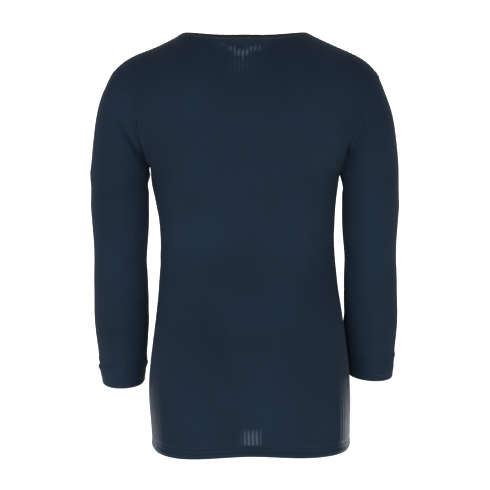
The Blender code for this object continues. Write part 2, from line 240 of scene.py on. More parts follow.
@dataclass(frozen=True)
class Crumple:
    """Small puckers round a sleeve: whole waves of several counts, as high as the bands say."""

    waves: tuple[int, ...]
    seed: int
    bands: tuple[Band, ...]

    def offset(self, turn: np.ndarray, at: np.ndarray, arm: Arm) -> np.ndarray:
        """Outward movement by place round the arm and along it, different for each arm."""
        lengths = tuple(1 / count for count in self.waves)
        return banded(self.bands, at)[:, None] * wobble(turn, lengths, self.seed + arm.value)


# ---------------------------------------------------------------- creases


@dataclass(frozen=True)
class Fold:
    """One of the cloth's largest folds: a trough along a line in space, moved in by push."""

    start: tuple[float, float, float]
    end: tuple[float, float, float]
    width: float
    push: tuple[float, float, float]

    def moved(self, points: Points) -> Points:
        """How far each point moves: push times a bell of its distance from the line."""
        start, end = np.array(self.start), np.array(self.end)
        run = end - start
        share = np.clip(((points - start) @ run) / (run @ run), 0.0, 1.0)
        distance = np.linalg.norm(points - (start + share[..., None] * run), axis=-1)
        return bell(distance, self.width)[..., None] * np.array(self.push)


# A crease's ridge: how far beside the trough, how wide and how high, in shares of the trough
RIDGE_BESIDE = 1.7
RIDGE_WIDTH = 1.2
RIDGE_HEIGHT = 0.34


@dataclass(frozen=True)
class Crease:
    """A small crease on a surface: a trough with a low ridge beside it, fading at both ends.

    Places on the surface are (across, height): a share across or round it, and z.
    """

    start: tuple[float, float]
    end: tuple[float, float]
    width: float
    depth: float

    def offset(self, across: np.ndarray, height: np.ndarray, scale: float, turn: float) -> np.ndarray:
        """Outward movement, -depth * bell(distance) with a third of it beside as a ridge.

        Args:
            across: each point's place across or round the surface.
            height: each point's z.
            scale: metres for 1 of across.
            turn: the value of across at which it starts again, or 0 where it doesn't.

        Returns:
            The movement along the surface's normal, in metres.
        """
        (a0, h0), (a1, h1) = self.start, self.end
        da = across - a0
        if turn:
            da = (da + turn / 2) % turn - turn / 2
        run = np.array([(a1 - a0) * scale, h1 - h0])
        x, y = da * scale, height - h0
        length = math.hypot(*run)
        share = (x * run[0] + y * run[1]) / (run @ run)
        side = (x * run[1] - y * run[0]) / length
        beyond = (np.clip(share, 0, 1) - share) * length
        fade = np.sin(math.pi * np.clip(0.12 + 0.76 * share, 0, 1)) ** 0.8
        trough = -np.exp(-(side**2 + beyond**2) / self.width**2)
        aside = side - RIDGE_BESIDE * self.width
        ridge = np.exp(-(aside**2 + beyond**2) / (RIDGE_WIDTH * self.width) ** 2)
        return self.depth * fade * (trough + RIDGE_HEIGHT * ridge)


FOLDS = (
    Fold((-0.206, -0.064, -0.160), (-0.169, -0.048, -0.238), 0.011, (0.0015, 0.0050, 0.0)),
    Fold((-0.176, -0.086, -0.150), (-0.166, -0.052, -0.228), 0.009, (0.0010, 0.0035, 0.0)),
    Fold((0.202, -0.066, -0.162), (0.173, -0.050, -0.236), 0.011, (-0.0015, 0.0050, 0.0)),
    Fold((0.177, -0.084, -0.168), (0.168, -0.050, -0.242), 0.009, (-0.0010, 0.0040, 0.0)),
    Fold((-0.200, 0.066, -0.165), (-0.170, 0.048, -0.240), 0.012, (0.0015, -0.0045, 0.0)),
    Fold((0.204, 0.066, -0.158), (0.171, 0.050, -0.238), 0.012, (-0.0015, -0.0045, 0.0)),
    Fold((-0.250, 0.030, -0.384), (-0.190, 0.036, -0.400), 0.012, (0.0, -0.0045, 0.0)),
    Fold((0.192, 0.036, -0.380), (0.250, 0.030, -0.396), 0.012, (0.0, -0.0050, 0.0)),
)

# Deep narrow folds behind and before the arm, the underarm's lift, the shoulders' ends and the
# neck's corners, on panels and sleeves alike
ARMPIT_FOLDS = (
    Fold((-0.1815, -0.0440, -0.2140), (-0.1700, -0.0240, -0.2460), 0.0062, (0.0010, 0.0130, 0.0)),
    Fold((-0.1860, -0.0690, -0.1660), (-0.1800, -0.0500, -0.2020), 0.0026, (0.0, 0.0045, 0.0)),
    Fold((-0.1742, -0.0663, -0.1865), (-0.1707, -0.0484, -0.2156), 0.0026, (0.0, 0.0036, 0.0)),
    Fold((0.1835, -0.0450, -0.2080), (0.1740, -0.0260, -0.2520), 0.0075, (-0.0010, 0.0140, 0.0)),
    Fold((0.1728, -0.0720, -0.1744), (0.1759, -0.0500, -0.2065), 0.0028, (0.0, 0.0050, 0.0)),
    Fold((0.2020, -0.0575, -0.1683), (0.1885, -0.0465, -0.2105), 0.0030, (-0.0010, 0.0050, 0.0)),
    Fold((-0.184, 0.048, -0.206), (-0.168, 0.029, -0.246), 0.0075, (0.0008, -0.0090, 0.0)),
    Fold((0.186, 0.048, -0.208), (0.172, 0.030, -0.250), 0.0075, (-0.0008, -0.0095, 0.0)),
    Fold((-0.168, -0.030, -0.247), (-0.168, 0.030, -0.247), 0.0140, (0.0, 0.0, 0.0100)),
    Fold((-0.245, -0.020, -0.090), (-0.245, 0.020, -0.090), 0.0180, (0.0018, 0.0, 0.0)),
    Fold((0.245, -0.020, -0.100), (0.245, 0.020, -0.100), 0.0340, (-0.0029, 0.0, 0.0)),
    Fold((0.1047, -0.020, -0.003), (0.1047, 0.020, -0.003), 0.0050, (0.0, 0.0, 0.0014)),
    Fold((-0.1000, -0.025, -0.003), (-0.1000, 0.010, -0.003), 0.0060, (0.0, 0.0, 0.0008)),
)

# Where the body settles by itself, and where each sleeve does
BODY_FOLDS = (
    Fold((-0.158, 0.000, -0.270), (-0.158, 0.000, -0.302), 0.0180, (-0.0020, 0.0, 0.0)),
    Fold((0.166, 0.000, -0.405), (0.166, 0.000, -0.420), 0.0180, (0.0012, 0.0, 0.0)),
)
LEFT_SLEEVE_FOLDS = (
    Fold((-0.175, -0.006, -0.258), (-0.175, 0.030, -0.560), 0.0230, (0.0019, 0.0, 0.0)),
    Fold((-0.271, -0.020, -0.250), (-0.271, 0.020, -0.250), 0.0130, (-0.0022, 0.0, 0.0)),
    Fold((-0.174, 0.020, -0.582), (-0.174, 0.070, -0.582), 0.0060, (0.0032, 0.0, 0.0)),
    Fold((-0.261, 0.020, -0.590), (-0.261, 0.070, -0.590), 0.0055, (-0.0034, 0.0, 0.0)),
)
RIGHT_SLEEVE_FOLDS = (
    Fold((0.177, 0.026, -0.530), (0.181, 0.042, -0.600), 0.0240, (-0.0040, 0.0, 0.0)),
    Fold((0.233, -0.022, -0.090), (0.231, 0.000, -0.088), 0.0050, (-0.0010, 0.0, -0.0014)),
    Fold((0.270, 0.010, -0.572), (0.270, 0.070, -0.572), 0.0048, (0.0028, 0.0, 0.0)),
)

BACK_CREASES = (
    Crease((-0.900, -0.156), (-0.985, -0.206), 0.0036, 0.0026),
    Crease((-0.800, -0.118), (-0.835, -0.160), 0.0040, 0.0010),
    Crease((-0.860, -0.116), (-0.885, -0.158), 0.0040, 0.0011),
    Crease((0.830, -0.162), (0.958, -0.212), 0.0042, 0.0026),
    Crease((0.790, -0.118), (0.835, -0.162), 0.0040, 0.0011),
    Crease((0.848, -0.114), (0.900, -0.166), 0.0040, 0.0011),
    Crease((-0.90, -0.222), (-0.60, -0.176), 0.0100, 0.0013),
    Crease((0.90, -0.226), (0.57, -0.184), 0.0110, 0.0015),
    Crease((0.88, -0.252), (0.60, -0.232), 0.0090, 0.0010),
    Crease((-0.90, -0.262), (-0.66, -0.246), 0.0080, 0.0009),
    Crease((-0.13, -0.437), (0.25, -0.441), 0.0070, 0.0011),
    Crease((0.02, -0.456), (0.36, -0.452), 0.0080, 0.0009),
    Crease((-0.33, -0.466), (-0.04, -0.470), 0.0090, 0.0008),
    Crease((-0.95, -0.366), (-0.52, -0.396), 0.0120, 0.0017),
    Crease((-0.93, -0.408), (-0.62, -0.424), 0.0100, 0.0012),
    Crease((0.95, -0.358), (0.55, -0.392), 0.0120, 0.0018),
    Crease((0.94, -0.402), (0.60, -0.420), 0.0110, 0.0014),
    Crease((0.93, -0.446), (0.70, -0.452), 0.0100, 0.0010),
    Crease((-0.52, -0.716), (-0.49, -0.640), 0.0170, 0.0013),
    Crease((0.10, -0.716), (0.08, -0.668), 0.0150, 0.0012),
    Crease((0.52, -0.716), (0.47, -0.630), 0.0180, 0.0014),
)

FRONT_CREASES = (
    Crease((-0.92, -0.152), (-0.97, -0.228), 0.0055, 0.0020),
    Crease((0.93, -0.146), (0.96, -0.224), 0.0050, 0.0018),
    Crease((-0.90, -0.230), (-0.52, -0.176), 0.0110, 0.0015),
    Crease((0.91, -0.224), (0.56, -0.168), 0.0100, 0.0014),
    Crease((0.88, -0.256), (0.58, -0.236), 0.0090, 0.0010),
    Crease((-0.94, -0.372), (-0.55, -0.398), 0.0120, 0.0016),
    Crease((0.95, -0.364), (0.50, -0.402), 0.0130, 0.0017),
    Crease((0.94, -0.420), (0.66, -0.436), 0.0100, 0.0012),
    Crease((-0.22, -0.446), (0.16, -0.452), 0.0090, 0.0010),
    Crease((-0.42, -0.482), (-0.10, -0.480), 0.0100, 0.0009),
    Crease((-0.44, -0.706), (-0.40, -0.630), 0.0170, 0.0013),
    Crease((0.20, -0.706), (0.24, -0.640), 0.0160, 0.0012),
    Crease((0.62, -0.706), (0.58, -0.650), 0.0170, 0.0012),
)

LEFT_SLEEVE_CREASES = (
    Crease((0.212, -0.158), (0.350, -0.213), 0.0040, 0.0024),
    Crease((0.330, -0.204), (0.450, -0.252), 0.0045, 0.0020),
    Crease((0.985, -0.262), (0.030, -0.238), 0.0060, -0.0016),
    Crease((0.400, -0.262), (0.590, -0.272), 0.0080, 0.0016),
    Crease((0.740, -0.166), (0.590, -0.242), 0.0070, 0.0020),
    Crease((0.600, -0.372), (0.860, -0.386), 0.0070, 0.0020),
    Crease((0.620, -0.408), (0.840, -0.418), 0.0080, 0.0016),
    Crease((0.340, -0.392), (0.520, -0.404), 0.0100, 0.0012),
    Crease((0.300, -0.462), (0.520, -0.488), 0.0110, 0.0013),
    Crease((0.080, -0.508), (0.290, -0.534), 0.0110, 0.0012),
    Crease((0.700, -0.500), (0.900, -0.524), 0.0100, 0.0012),
)

RIGHT_SLEEVE_CREASES = (
    Crease((0.340, -0.210), (0.450, -0.262), 0.0050, 0.0020),
    Crease((0.410, -0.266), (0.570, -0.274), 0.0080, 0.0015),
    Crease((0.730, -0.160), (0.580, -0.240), 0.0070, 0.0021),
    Crease((0.590, -0.366), (0.850, -0.382), 0.0075, 0.0021),
    Crease((0.640, -0.402), (0.870, -0.410), 0.0080, 0.0015),
    Crease((0.320, -0.384), (0.500, -0.398), 0.0100, 0.0012),
    Crease((0.330, -0.470), (0.530, -0.492), 0.0110, 0.0013),
    Crease((0.100, -0.500), (0.300, -0.522), 0.0110, 0.0012),
    Crease((0.690, -0.486), (0.880, -0.512), 0.0100, 0.0012),
)


# ---------------------------------------------------------------- finishes


def linear(hex_colour: str) -> tuple[float, float, float, float]:
    """An sRGB hex colour such as "#222e3c" as linear red, green, blue and alpha 1."""
    values = np.array([int(hex_colour[i : i + 2], 16) / 255 for i in (1, 3, 5)])
    low = values / 12.92
    high = ((values + 0.055) / 1.055) ** 2.4
    return (*np.where(values <= 0.04045, low, high).tolist(), 1.0)


def set_inputs(node: bpy.types.Node, values: dict) -> None:
    """Set or link a node's inputs.

    Args:
        node: the node.
        values: input name or number to a plain value, to another node's output, or to a node,
            which means its first output.
    """
    for name, value in values.items():
        if isinstance(value, bpy.types.Node):
            value = value.outputs[0]
        if isinstance(value, bpy.types.NodeSocket):
            node.id_data.links.new(value, node.inputs[name])
        else:
            node.inputs[name].default_value = value


def add_node(tree: bpy.types.NodeTree, kind: str, values: dict | None = None, **settings) -> bpy.types.Node:
    """One node with its settings and links.

    Args:
        tree: the material's node tree.
        kind: the node's type after "ShaderNode", such as "Math".
        values: what its inputs are set or linked to.
        settings: the node's own properties.

    Returns:
        The node.
    """
    node = tree.nodes.new(f"ShaderNode{kind}")
    for name, value in settings.items():
        setattr(node, name, value)
    set_inputs(node, values or {})
    return node


def new_material(name: str) -> tuple[bpy.types.Material, bpy.types.NodeTree, bpy.types.Node]:
    """A new node material, its tree and its Principled shader."""
    material = bpy.data.materials.new(name)
    material.use_nodes = True
    return material, material.node_tree, material.node_tree.nodes["Principled BSDF"]


def uneven_dye(
    tree: bpy.types.NodeTree, colour: str, pattern: bpy.types.Node, low: float, high: float, spread: float
) -> bpy.types.NodeSocket:
    """A colour that a pattern makes up to spread lighter or darker.

    Args:
        tree: the material's node tree.
        colour: the colour in hex.
        pattern: the node whose first output is the pattern.
        low: the pattern's value where the colour is darkest.
        high: its value where the colour is lightest.
        spread: the share by which the colour changes.

    Returns:
        The colour's socket.
    """
    tone = add_node(tree, "MapRange", {0: pattern, 1: low, 2: high, 3: 1 - spread, 4: 1 + spread})
    parts = {0: 1.0, 6: linear(colour), 7: tone}
    return add_node(tree, "Mix", parts, data_type="RGBA", blend_type="MULTIPLY").outputs[2]


@dataclass(frozen=True)
class KnitFinish:
    """Cotton-rich rib jersey, piece-dyed and brushed soft inside.

    To the eye it is matt, with a faint pale bloom of loose fibre where it turns away, rows of
    small loops along the ribs, and a tone that drifts a little over a hand's width. The loops
    are really 0.9 mm across; they are drawn 1.9 mm across so that they show at this distance.
    """

    name: str
    colour: str
    # The pale colour that is painted in as painted light
    pale: str
    roughness: float = 0.88
    sheen: float = 0.10
    loop_width_mm: float = 1.87
    loop_height_mm: float = 1.5
    loop_depth_mm: float = 0.22

    def material(self) -> bpy.types.Material:
        """The node material: knit loops as bump, drifting tone, and painted light in the base colour."""
        material, tree, shader = new_material(self.name)
        uv = add_node(tree, "UVMap", uv_map="cloth")
        fibre = add_node(tree, "TexNoise", {"Vector": uv, "Scale": 900.0, "Detail": 2.0})
        loops = self._loops(tree, uv)
        height = add_node(tree, "Math", {0: fibre, 1: 0.5, 2: loops}, operation="MULTIPLY_ADD")
        depth = self.loop_depth_mm * MM
        bump = add_node(tree, "Bump", {"Height": height, "Strength": 0.6, "Distance": depth})
        place = add_node(tree, "TexCoord").outputs["Object"]
        drift = add_node(tree, "TexNoise", {"Vector": place, "Scale": 9.0, "Detail": 3.0})
        speck = add_node(tree, "Math", {0: fibre, 1: 0.35, 2: drift}, operation="MULTIPLY_ADD")
        dyed = uneven_dye(tree, self.colour, speck, 0.45, 0.90, 0.14)
        # Painted light: the pale colour mixed into the base colour by a point attribute, in place of light
        # through the ribs and of the neck tape's highlight
        painted_light_amount = add_node(tree, "Attribute", attribute_name="painted_light").outputs["Fac"]
        with_painted_light = add_node(tree, "Mix", {0: painted_light_amount, 6: dyed, 7: linear(self.pale)}, data_type="RGBA")
        values = {
            "Base Color": with_painted_light.outputs[2],
            "Normal": bump,
            "Roughness": self.roughness,
            "IOR": 1.47,
            "Specular IOR Level": 0.16,
            "Sheen Weight": self.sheen,
            "Sheen Roughness": 0.42,
            "Sheen Tint": linear("#aab6c6"),
        }
        set_inputs(shader, values)
        return material

    def _loops(self, tree: bpy.types.NodeTree, uv: bpy.types.Node) -> bpy.types.Node:
        """Height of the knit's loops: |sin(u)| ridges crossed by V-shaped courses.

        Args:
            tree: the material's node tree.
            uv: the node with the cloth's own coordinates, in metres.

        Returns:
            A node whose first output is the height, about 0 to 1.
        """
        split = add_node(tree, "SeparateXYZ", {0: uv})
        per_wale = math.pi / (self.loop_width_mm * MM)
        per_course = 2 * math.pi / (self.loop_height_mm * MM)
        wale = add_node(tree, "Math", {0: split, 1: per_wale}, operation="MULTIPLY")
        sine = add_node(tree, "Math", {0: wale}, operation="SINE")
        ridge = add_node(tree, "Math", {0: sine}, operation="ABSOLUTE")
        lean = add_node(tree, "Math", {0: ridge, 1: -2.2}, operation="MULTIPLY")
        up = split.outputs["Y"]
        course = add_node(tree, "Math", {0: up, 1: per_course, 2: lean}, operation="MULTIPLY_ADD")
        wave = add_node(tree, "Math", {0: course}, operation="SINE")
        return add_node(tree, "Math", {0: wave, 1: 0.35, 2: ridge}, operation="MULTIPLY_ADD")


@dataclass(frozen=True)
class ThreadFinish:
    """Spun polyester sewing thread: smoother and a little glossier than the cloth it lies on."""

    name: str
    colour: str

    def material(self) -> bpy.types.Material:
        """The node material: a twist of fine diagonal lines along each stitch."""
        material, tree, shader = new_material(self.name)
        place = add_node(tree, "TexCoord").outputs["Object"]
        twist = add_node(tree, "TexNoise", {"Vector": place, "Scale": 1500.0, "Detail": 1.0})
        dyed = uneven_dye(tree, self.colour, twist, 0.3, 0.7, 0.2)
        values = {"Base Color": dyed, "Roughness": 0.55, "IOR": 1.53, "Sheen Weight": 0.15}
        set_inputs(shader, values)
        return material


# ---------------------------------------------------------------- meshes


def quads(index: np.ndarray) -> np.ndarray:
    """The four corners of each cell of a grid of numbers, one cell a row."""
    corners = [index[:-1, :-1], index[:-1, 1:], index[1:, 1:], index[1:, :-1]]
    return np.stack(corners, axis=-1).reshape(-1, 4)


def inside_out(points: Points, faces: list[np.ndarray]) -> bool:
    """Whether a closed mesh's volume, summed over fans of its faces, comes out negative."""
    volume = 0.0
    for group in faces:
        corner = points[group]
        for k in range(1, group.shape[1] - 1):
            volume += np.sum(corner[:, 0] * np.cross(corner[:, k], corner[:, k + 1]))
    return volume < 0


def new_object(name: str, data: bpy.types.ID) -> bpy.types.Object:
    """An object with its data, linked to the scene."""
    item = bpy.data.objects.new(name, data)
    bpy.context.scene.collection.objects.link(item)
    return item


def mesh_object(
    name: str, points: Points, faces: list[np.ndarray], finish: bpy.types.Material
) -> bpy.types.Object:
    """A smooth-shaded mesh object.

    Args:
        name: the piece's name.
        points: the points, one a row.
        faces: arrays of point numbers, one face a row, each array for its own number of corners.
        finish: the material.

    Returns:
        The object, linked to the scene.
    """
    corners = np.concatenate([group.ravel() for group in faces])
    sizes = np.concatenate([np.full(len(group), group.shape[1]) for group in faces])
    mesh = bpy.data.meshes.new(name)
    mesh.vertices.add(len(points))
    mesh.vertices.foreach_set("co", np.asarray(points, np.float32).ravel())
    mesh.loops.add(len(corners))
    mesh.loops.foreach_set("vertex_index", corners.astype(np.int32))
    mesh.polygons.add(len(sizes))
    mesh.polygons.foreach_set("loop_start", (np.cumsum(sizes) - sizes).astype(np.int32))
    mesh.update(calc_edges=True)
    mesh.polygons.foreach_set("use_smooth", np.ones(len(sizes), bool))
    mesh.set_sharp_from_angle(angle=math.radians(75))
    mesh.materials.append(finish)
    return new_object(name, mesh)


def closed_object(
    name: str,
    loop: Points,
    cloth: tuple[np.ndarray, np.ndarray],
    ends: list[np.ndarray],
    finish: bpy.types.Material,
) -> bpy.types.Object:
    """A closed mesh from rows of points laid as one loop, its last row joined to its first.

    Faces are first numbered on the unrolled grid, where the row and the column that come round
    again are counted twice, so that the cloth coordinates run on over them.

    Args:
        name: the piece's name.
        loop: the rows.
        cloth: each column's and each row's place on the flat cloth. There is one more row, and
            one more column where a row closes on itself.
        ends: further faces, numbered on the unrolled grid.
        finish: the material.

    Returns:
        The object, with its cloth coordinates as the UV map "cloth".
    """
    rows, columns = loop.shape[:2]
    u, v = cloth
    unrolled = np.arange(len(v) * len(u)).reshape(len(v), len(u))
    point = (np.arange(len(v))[:, None] % rows) * columns + np.arange(len(u)) % columns
    groups = [quads(unrolled), *ends]
    points = loop.reshape(-1, 3)
    if inside_out(points, [point.ravel()[group] for group in groups]):
        groups = [group[:, ::-1] for group in groups]
    piece = mesh_object(name, points, [point.ravel()[group] for group in groups], finish)
    places = np.stack(np.broadcast_arrays(u[None], v[:, None]), axis=-1).reshape(-1, 2)
    corners = np.concatenate([group.ravel() for group in groups])
    layer = piece.data.uv_layers.new(name="cloth")
    layer.data.foreach_set("uv", places[corners].astype(np.float32).ravel())
    return piece


def mark_painted_light(piece: bpy.types.Object, values: np.ndarray) -> None:
    """Store how much painted light a piece's first points get, as a point attribute; the rest have none."""
    on_points = np.zeros(len(piece.data.vertices), np.float32)
    on_points[: values.size] = values.ravel()
    mark = piece.data.attributes.new("painted_light", "FLOAT", "POINT")
    mark.data.foreach_set("value", on_points)


# How much of the outer face's relief the inner face follows, and how far the rounded edge
# stands out, in shares of the wall
INSIDE_RELIEF = 0.5
LIP = 0.4


@dataclass
class Wall:
    """A closed wall of cloth between an outer and an inner grid, its edges rounded over.

    Rows run from one open edge to the other. wraps says that a row closes on itself. The last
    field is how much painted light, a pale colour in place of light through the ribs, each point of the
    outer face gets.
    """

    name: str
    outer: Points
    inner: Points
    wraps: bool
    painted_light: np.ndarray | None = None

    def build(self, finish: bpy.types.Material) -> bpy.types.Object:
        """Make the mesh object.

        The rows are laid end to end as one loop: up the outer face, over the edge, down the
        inner face and back over the other edge. Where a row doesn't wrap, faces close its ends.

        Args:
            finish: the cloth's material.

        Returns:
            The new object, at the origin.
        """
        loop = np.concatenate([self.outer, self._lip(-1, -2), self.inner[::-1], self._lip(0, 1)])
        rows, columns = self.outer.shape[:2]
        row = self.outer[rows // 2]
        u = arc(closed(row) if self.wraps else row)
        v = arc(self.outer[:, columns // 2])
        v = np.concatenate([v, v[-1:], v[::-1], v[:1], v[:1]])
        ends = [] if self.wraps else self._ends(rows, columns)
        piece = closed_object(self.name, loop, (u, v), ends, finish)
        if self.painted_light is not None:
            mark_painted_light(piece, self.painted_light)
        return piece

    def _lip(self, edge: int, before: int) -> Points:
        """The row over an open edge: midway between the faces and a part of a wall further on."""
        middle = (self.outer[edge] + self.inner[edge]) / 2
        behind = (self.outer[before] + self.inner[before]) / 2
        wall = np.linalg.norm(self.outer[edge] - self.inner[edge], axis=-1, keepdims=True)
        return (middle + unit(middle - behind) * wall * LIP)[None]

    @staticmethod
    def _ends(rows: int, columns: int) -> list[np.ndarray]:
        """Faces that close the wall at both ends of its rows.

        Quads join each step of the outer face to the same step of the inner one, and a triangle
        fills in under each rounded edge.

        Args:
            rows: how many rows a face of the wall has.
            columns: how many points a row has.

        Returns:
            The quads and the triangles, numbered on the unrolled grid.
        """
        up = np.arange(rows - 1)
        quad = np.stack([up, up + 1, 2 * rows - up - 1, 2 * rows - up], axis=-1)
        triangle = np.array([[rows - 1, rows, rows + 1], [2 * rows, 2 * rows + 1, 2 * rows + 2]])
        last = columns - 1
        return [
            np.concatenate([face * columns, face[:, ::-1] * columns + last])
            for face in (quad, triangle)
        ]


@dataclass(frozen=True)
class Stitches:
    """A row of lockstitches on a surface: short rods of thread that dip in at both ends."""

    spacing: float = 0.0031
    share: float = 0.74
    radius: float = 0.00028
    lift: float = 0.00022
    rings: int = 5
    sides: int = 6

    def build(self, name: str, lines: list, finish: bpy.types.Material) -> bpy.types.Object:
        """Rods along every line.

        The ring at share k of a rod's length is lifted by lift * (2 sin(pi k) - 1), so that both
        ends lie in the cloth, and its radius falls to about a third at the ends.

        Args:
            name: the piece's name.
            lines: (points, normals) of each line that is stitched.
            finish: the thread's material.

        Returns:
            One object with all the stitches.
        """
        points, faces = [], []
        first = 0
        for path, normals in lines:
            rod, rod_faces = self._rods(path, normals)
            points.append(rod)
            faces.append(rod_faces + first)
            first += len(rod)
        return mesh_object(name, np.concatenate(points), [np.concatenate(faces)], finish)

    def _rods(self, path: Points, normals: Points) -> tuple[Points, np.ndarray]:
        """Points and quads of the rods along one line."""
        length = arc(path)
        count = int(length[-1] / self.spacing)
        step = np.linspace(0, 1, self.rings)
        start = (np.arange(count) + 0.5 * (1 - self.share)) * length[-1] / count
        at = start[:, None] + step * self.share * self.spacing
        centre = points_at(at, length, path)
        out = unit(points_at(at, length, normals))
        along = unit(np.gradient(centre, axis=1))
        aside = np.cross(along, out)
        swell = np.sin(math.pi * step)
        centre = centre + (self.lift * (2 * swell - 1))[:, None] * out
        angle = np.arange(self.sides) * 2 * math.pi / self.sides
        radius = self.radius * (0.35 + 0.65 * np.sqrt(swell))
        ring = np.cos(angle)[:, None] * aside[:, :, None] + np.sin(angle)[:, None] * out[:, :, None]
        points = centre[:, :, None] + radius[:, None, None] * ring
        index = np.arange(points[..., 0].size).reshape(points.shape[:3])
        index = np.concatenate([index, index[:, :, :1]], axis=2)
        sides = np.concatenate([quads(rod) for rod in index])
        ends = np.concatenate([self._cap(index[:, 0, ::-1]), self._cap(index[:, -1])])
        return points.reshape(-1, 3), np.concatenate([sides, ends])

    def _cap(self, ring: np.ndarray) -> np.ndarray:
        """Two quads that close a six-sided end."""
        return np.concatenate([ring[:, [3, 2, 1, 0]], ring[:, [5, 4, 3, 0]]])


# ---------------------------------------------------------------- the body


@dataclass(frozen=True)
class Section:
    """A level section of the torso: |x/half_width|^n + |y/depth|^n = 1, shifted by lean."""

    z: float
    half_width: float
    back: float
    front: float
    squareness: float
    lean: float


@dataclass(frozen=True)
class PaintedVPlace:
    """Between which heights the painted light through the ribs below the neck lies, by the place's x."""

    x: float
    low: float
    high: float


PAINTED_V_ENDS = (
    PaintedVPlace(-0.0382, -0.0335, -0.0265),
    PaintedVPlace(-0.0242, -0.0429, -0.0320),
    PaintedVPlace(-0.0101, -0.0506, -0.0373),
    PaintedVPlace(-0.0031, -0.0544, -0.0399),
    PaintedVPlace(0.0046, -0.0475, -0.0351),
    PaintedVPlace(0.0116, -0.0445, -0.0313),
    PaintedVPlace(0.0257, -0.0414, -0.0287),
)


# Painted light through the back's ribs, a pale colour in the base colour: the V below the neck,
# its faint trail further down and the patch above the hem; and a faint lighter band painted next to the
# neck tape
NECK_LIGHT = 0.34
TRAIL_LIGHT = 0.10
HEM_LIGHT = 0.27
EDGE_LIGHT = 0.035
TRAIL_ENDS = (-0.085, -0.050)
HEM_ENDS = (-0.7120, -0.682)

# The middle and half the width of the V and of the patch
NECK_MIDDLE, NECK_REACH = -0.005, 0.034
HEM_MIDDLE, HEM_REACH = 0.0114, 0.0155


@dataclass(frozen=True)
class HemDrop:
    """How far the hem hangs below its level, by the place across a panel."""

    across: float
    drop: float


# Heights of the hem's rows above its edge, in mm, closest where the stitching pulls it in
HEM_ROWS = (0, 1.0, 2.2, 3.6, 5.2, 6.8, 8.6, 9.6, 10.6, 12.4, 14.8, 16.6, 17.6, 18.8, 20.4, 23)

# Heights of the hem's two rows of stitching above its edge, how far they flatten the ribs and
# pull the cloth in, and how the turned cloth puffs out between them and its rounded edge
HEM_SEAMS = (0.0100, 0.0178)
HEM_PINCH = (Band(HEM_SEAMS[1], 0.0015, 1.0), Band(HEM_SEAMS[0], 0.0013, 0.7))
HEM_PUFF = (Band(0.0056, 0.0026, 0.0009), Band(0.0, 0.0020, -0.0013))
HEM_FLATTENED = 0.75
HEM_PULLED_IN = 0.0005

# Height of the hem's rounded edge, where the ribs stand half as high
HEM_ROUND = 0.004

# Half the width of the dent along side and armhole seams
SEAM_WIDTH = 0.0020


@dataclass(frozen=True)
class PanelCut:
    """What differs between the back and the front."""

    half: Half
    node: str
    neck_depth: float
    neck_squareness: float
    centre_roll: float
    hem: tuple[HemDrop, ...]
    creases: tuple[Crease, ...]
    flat: tuple[float, float]
    flat_area: float


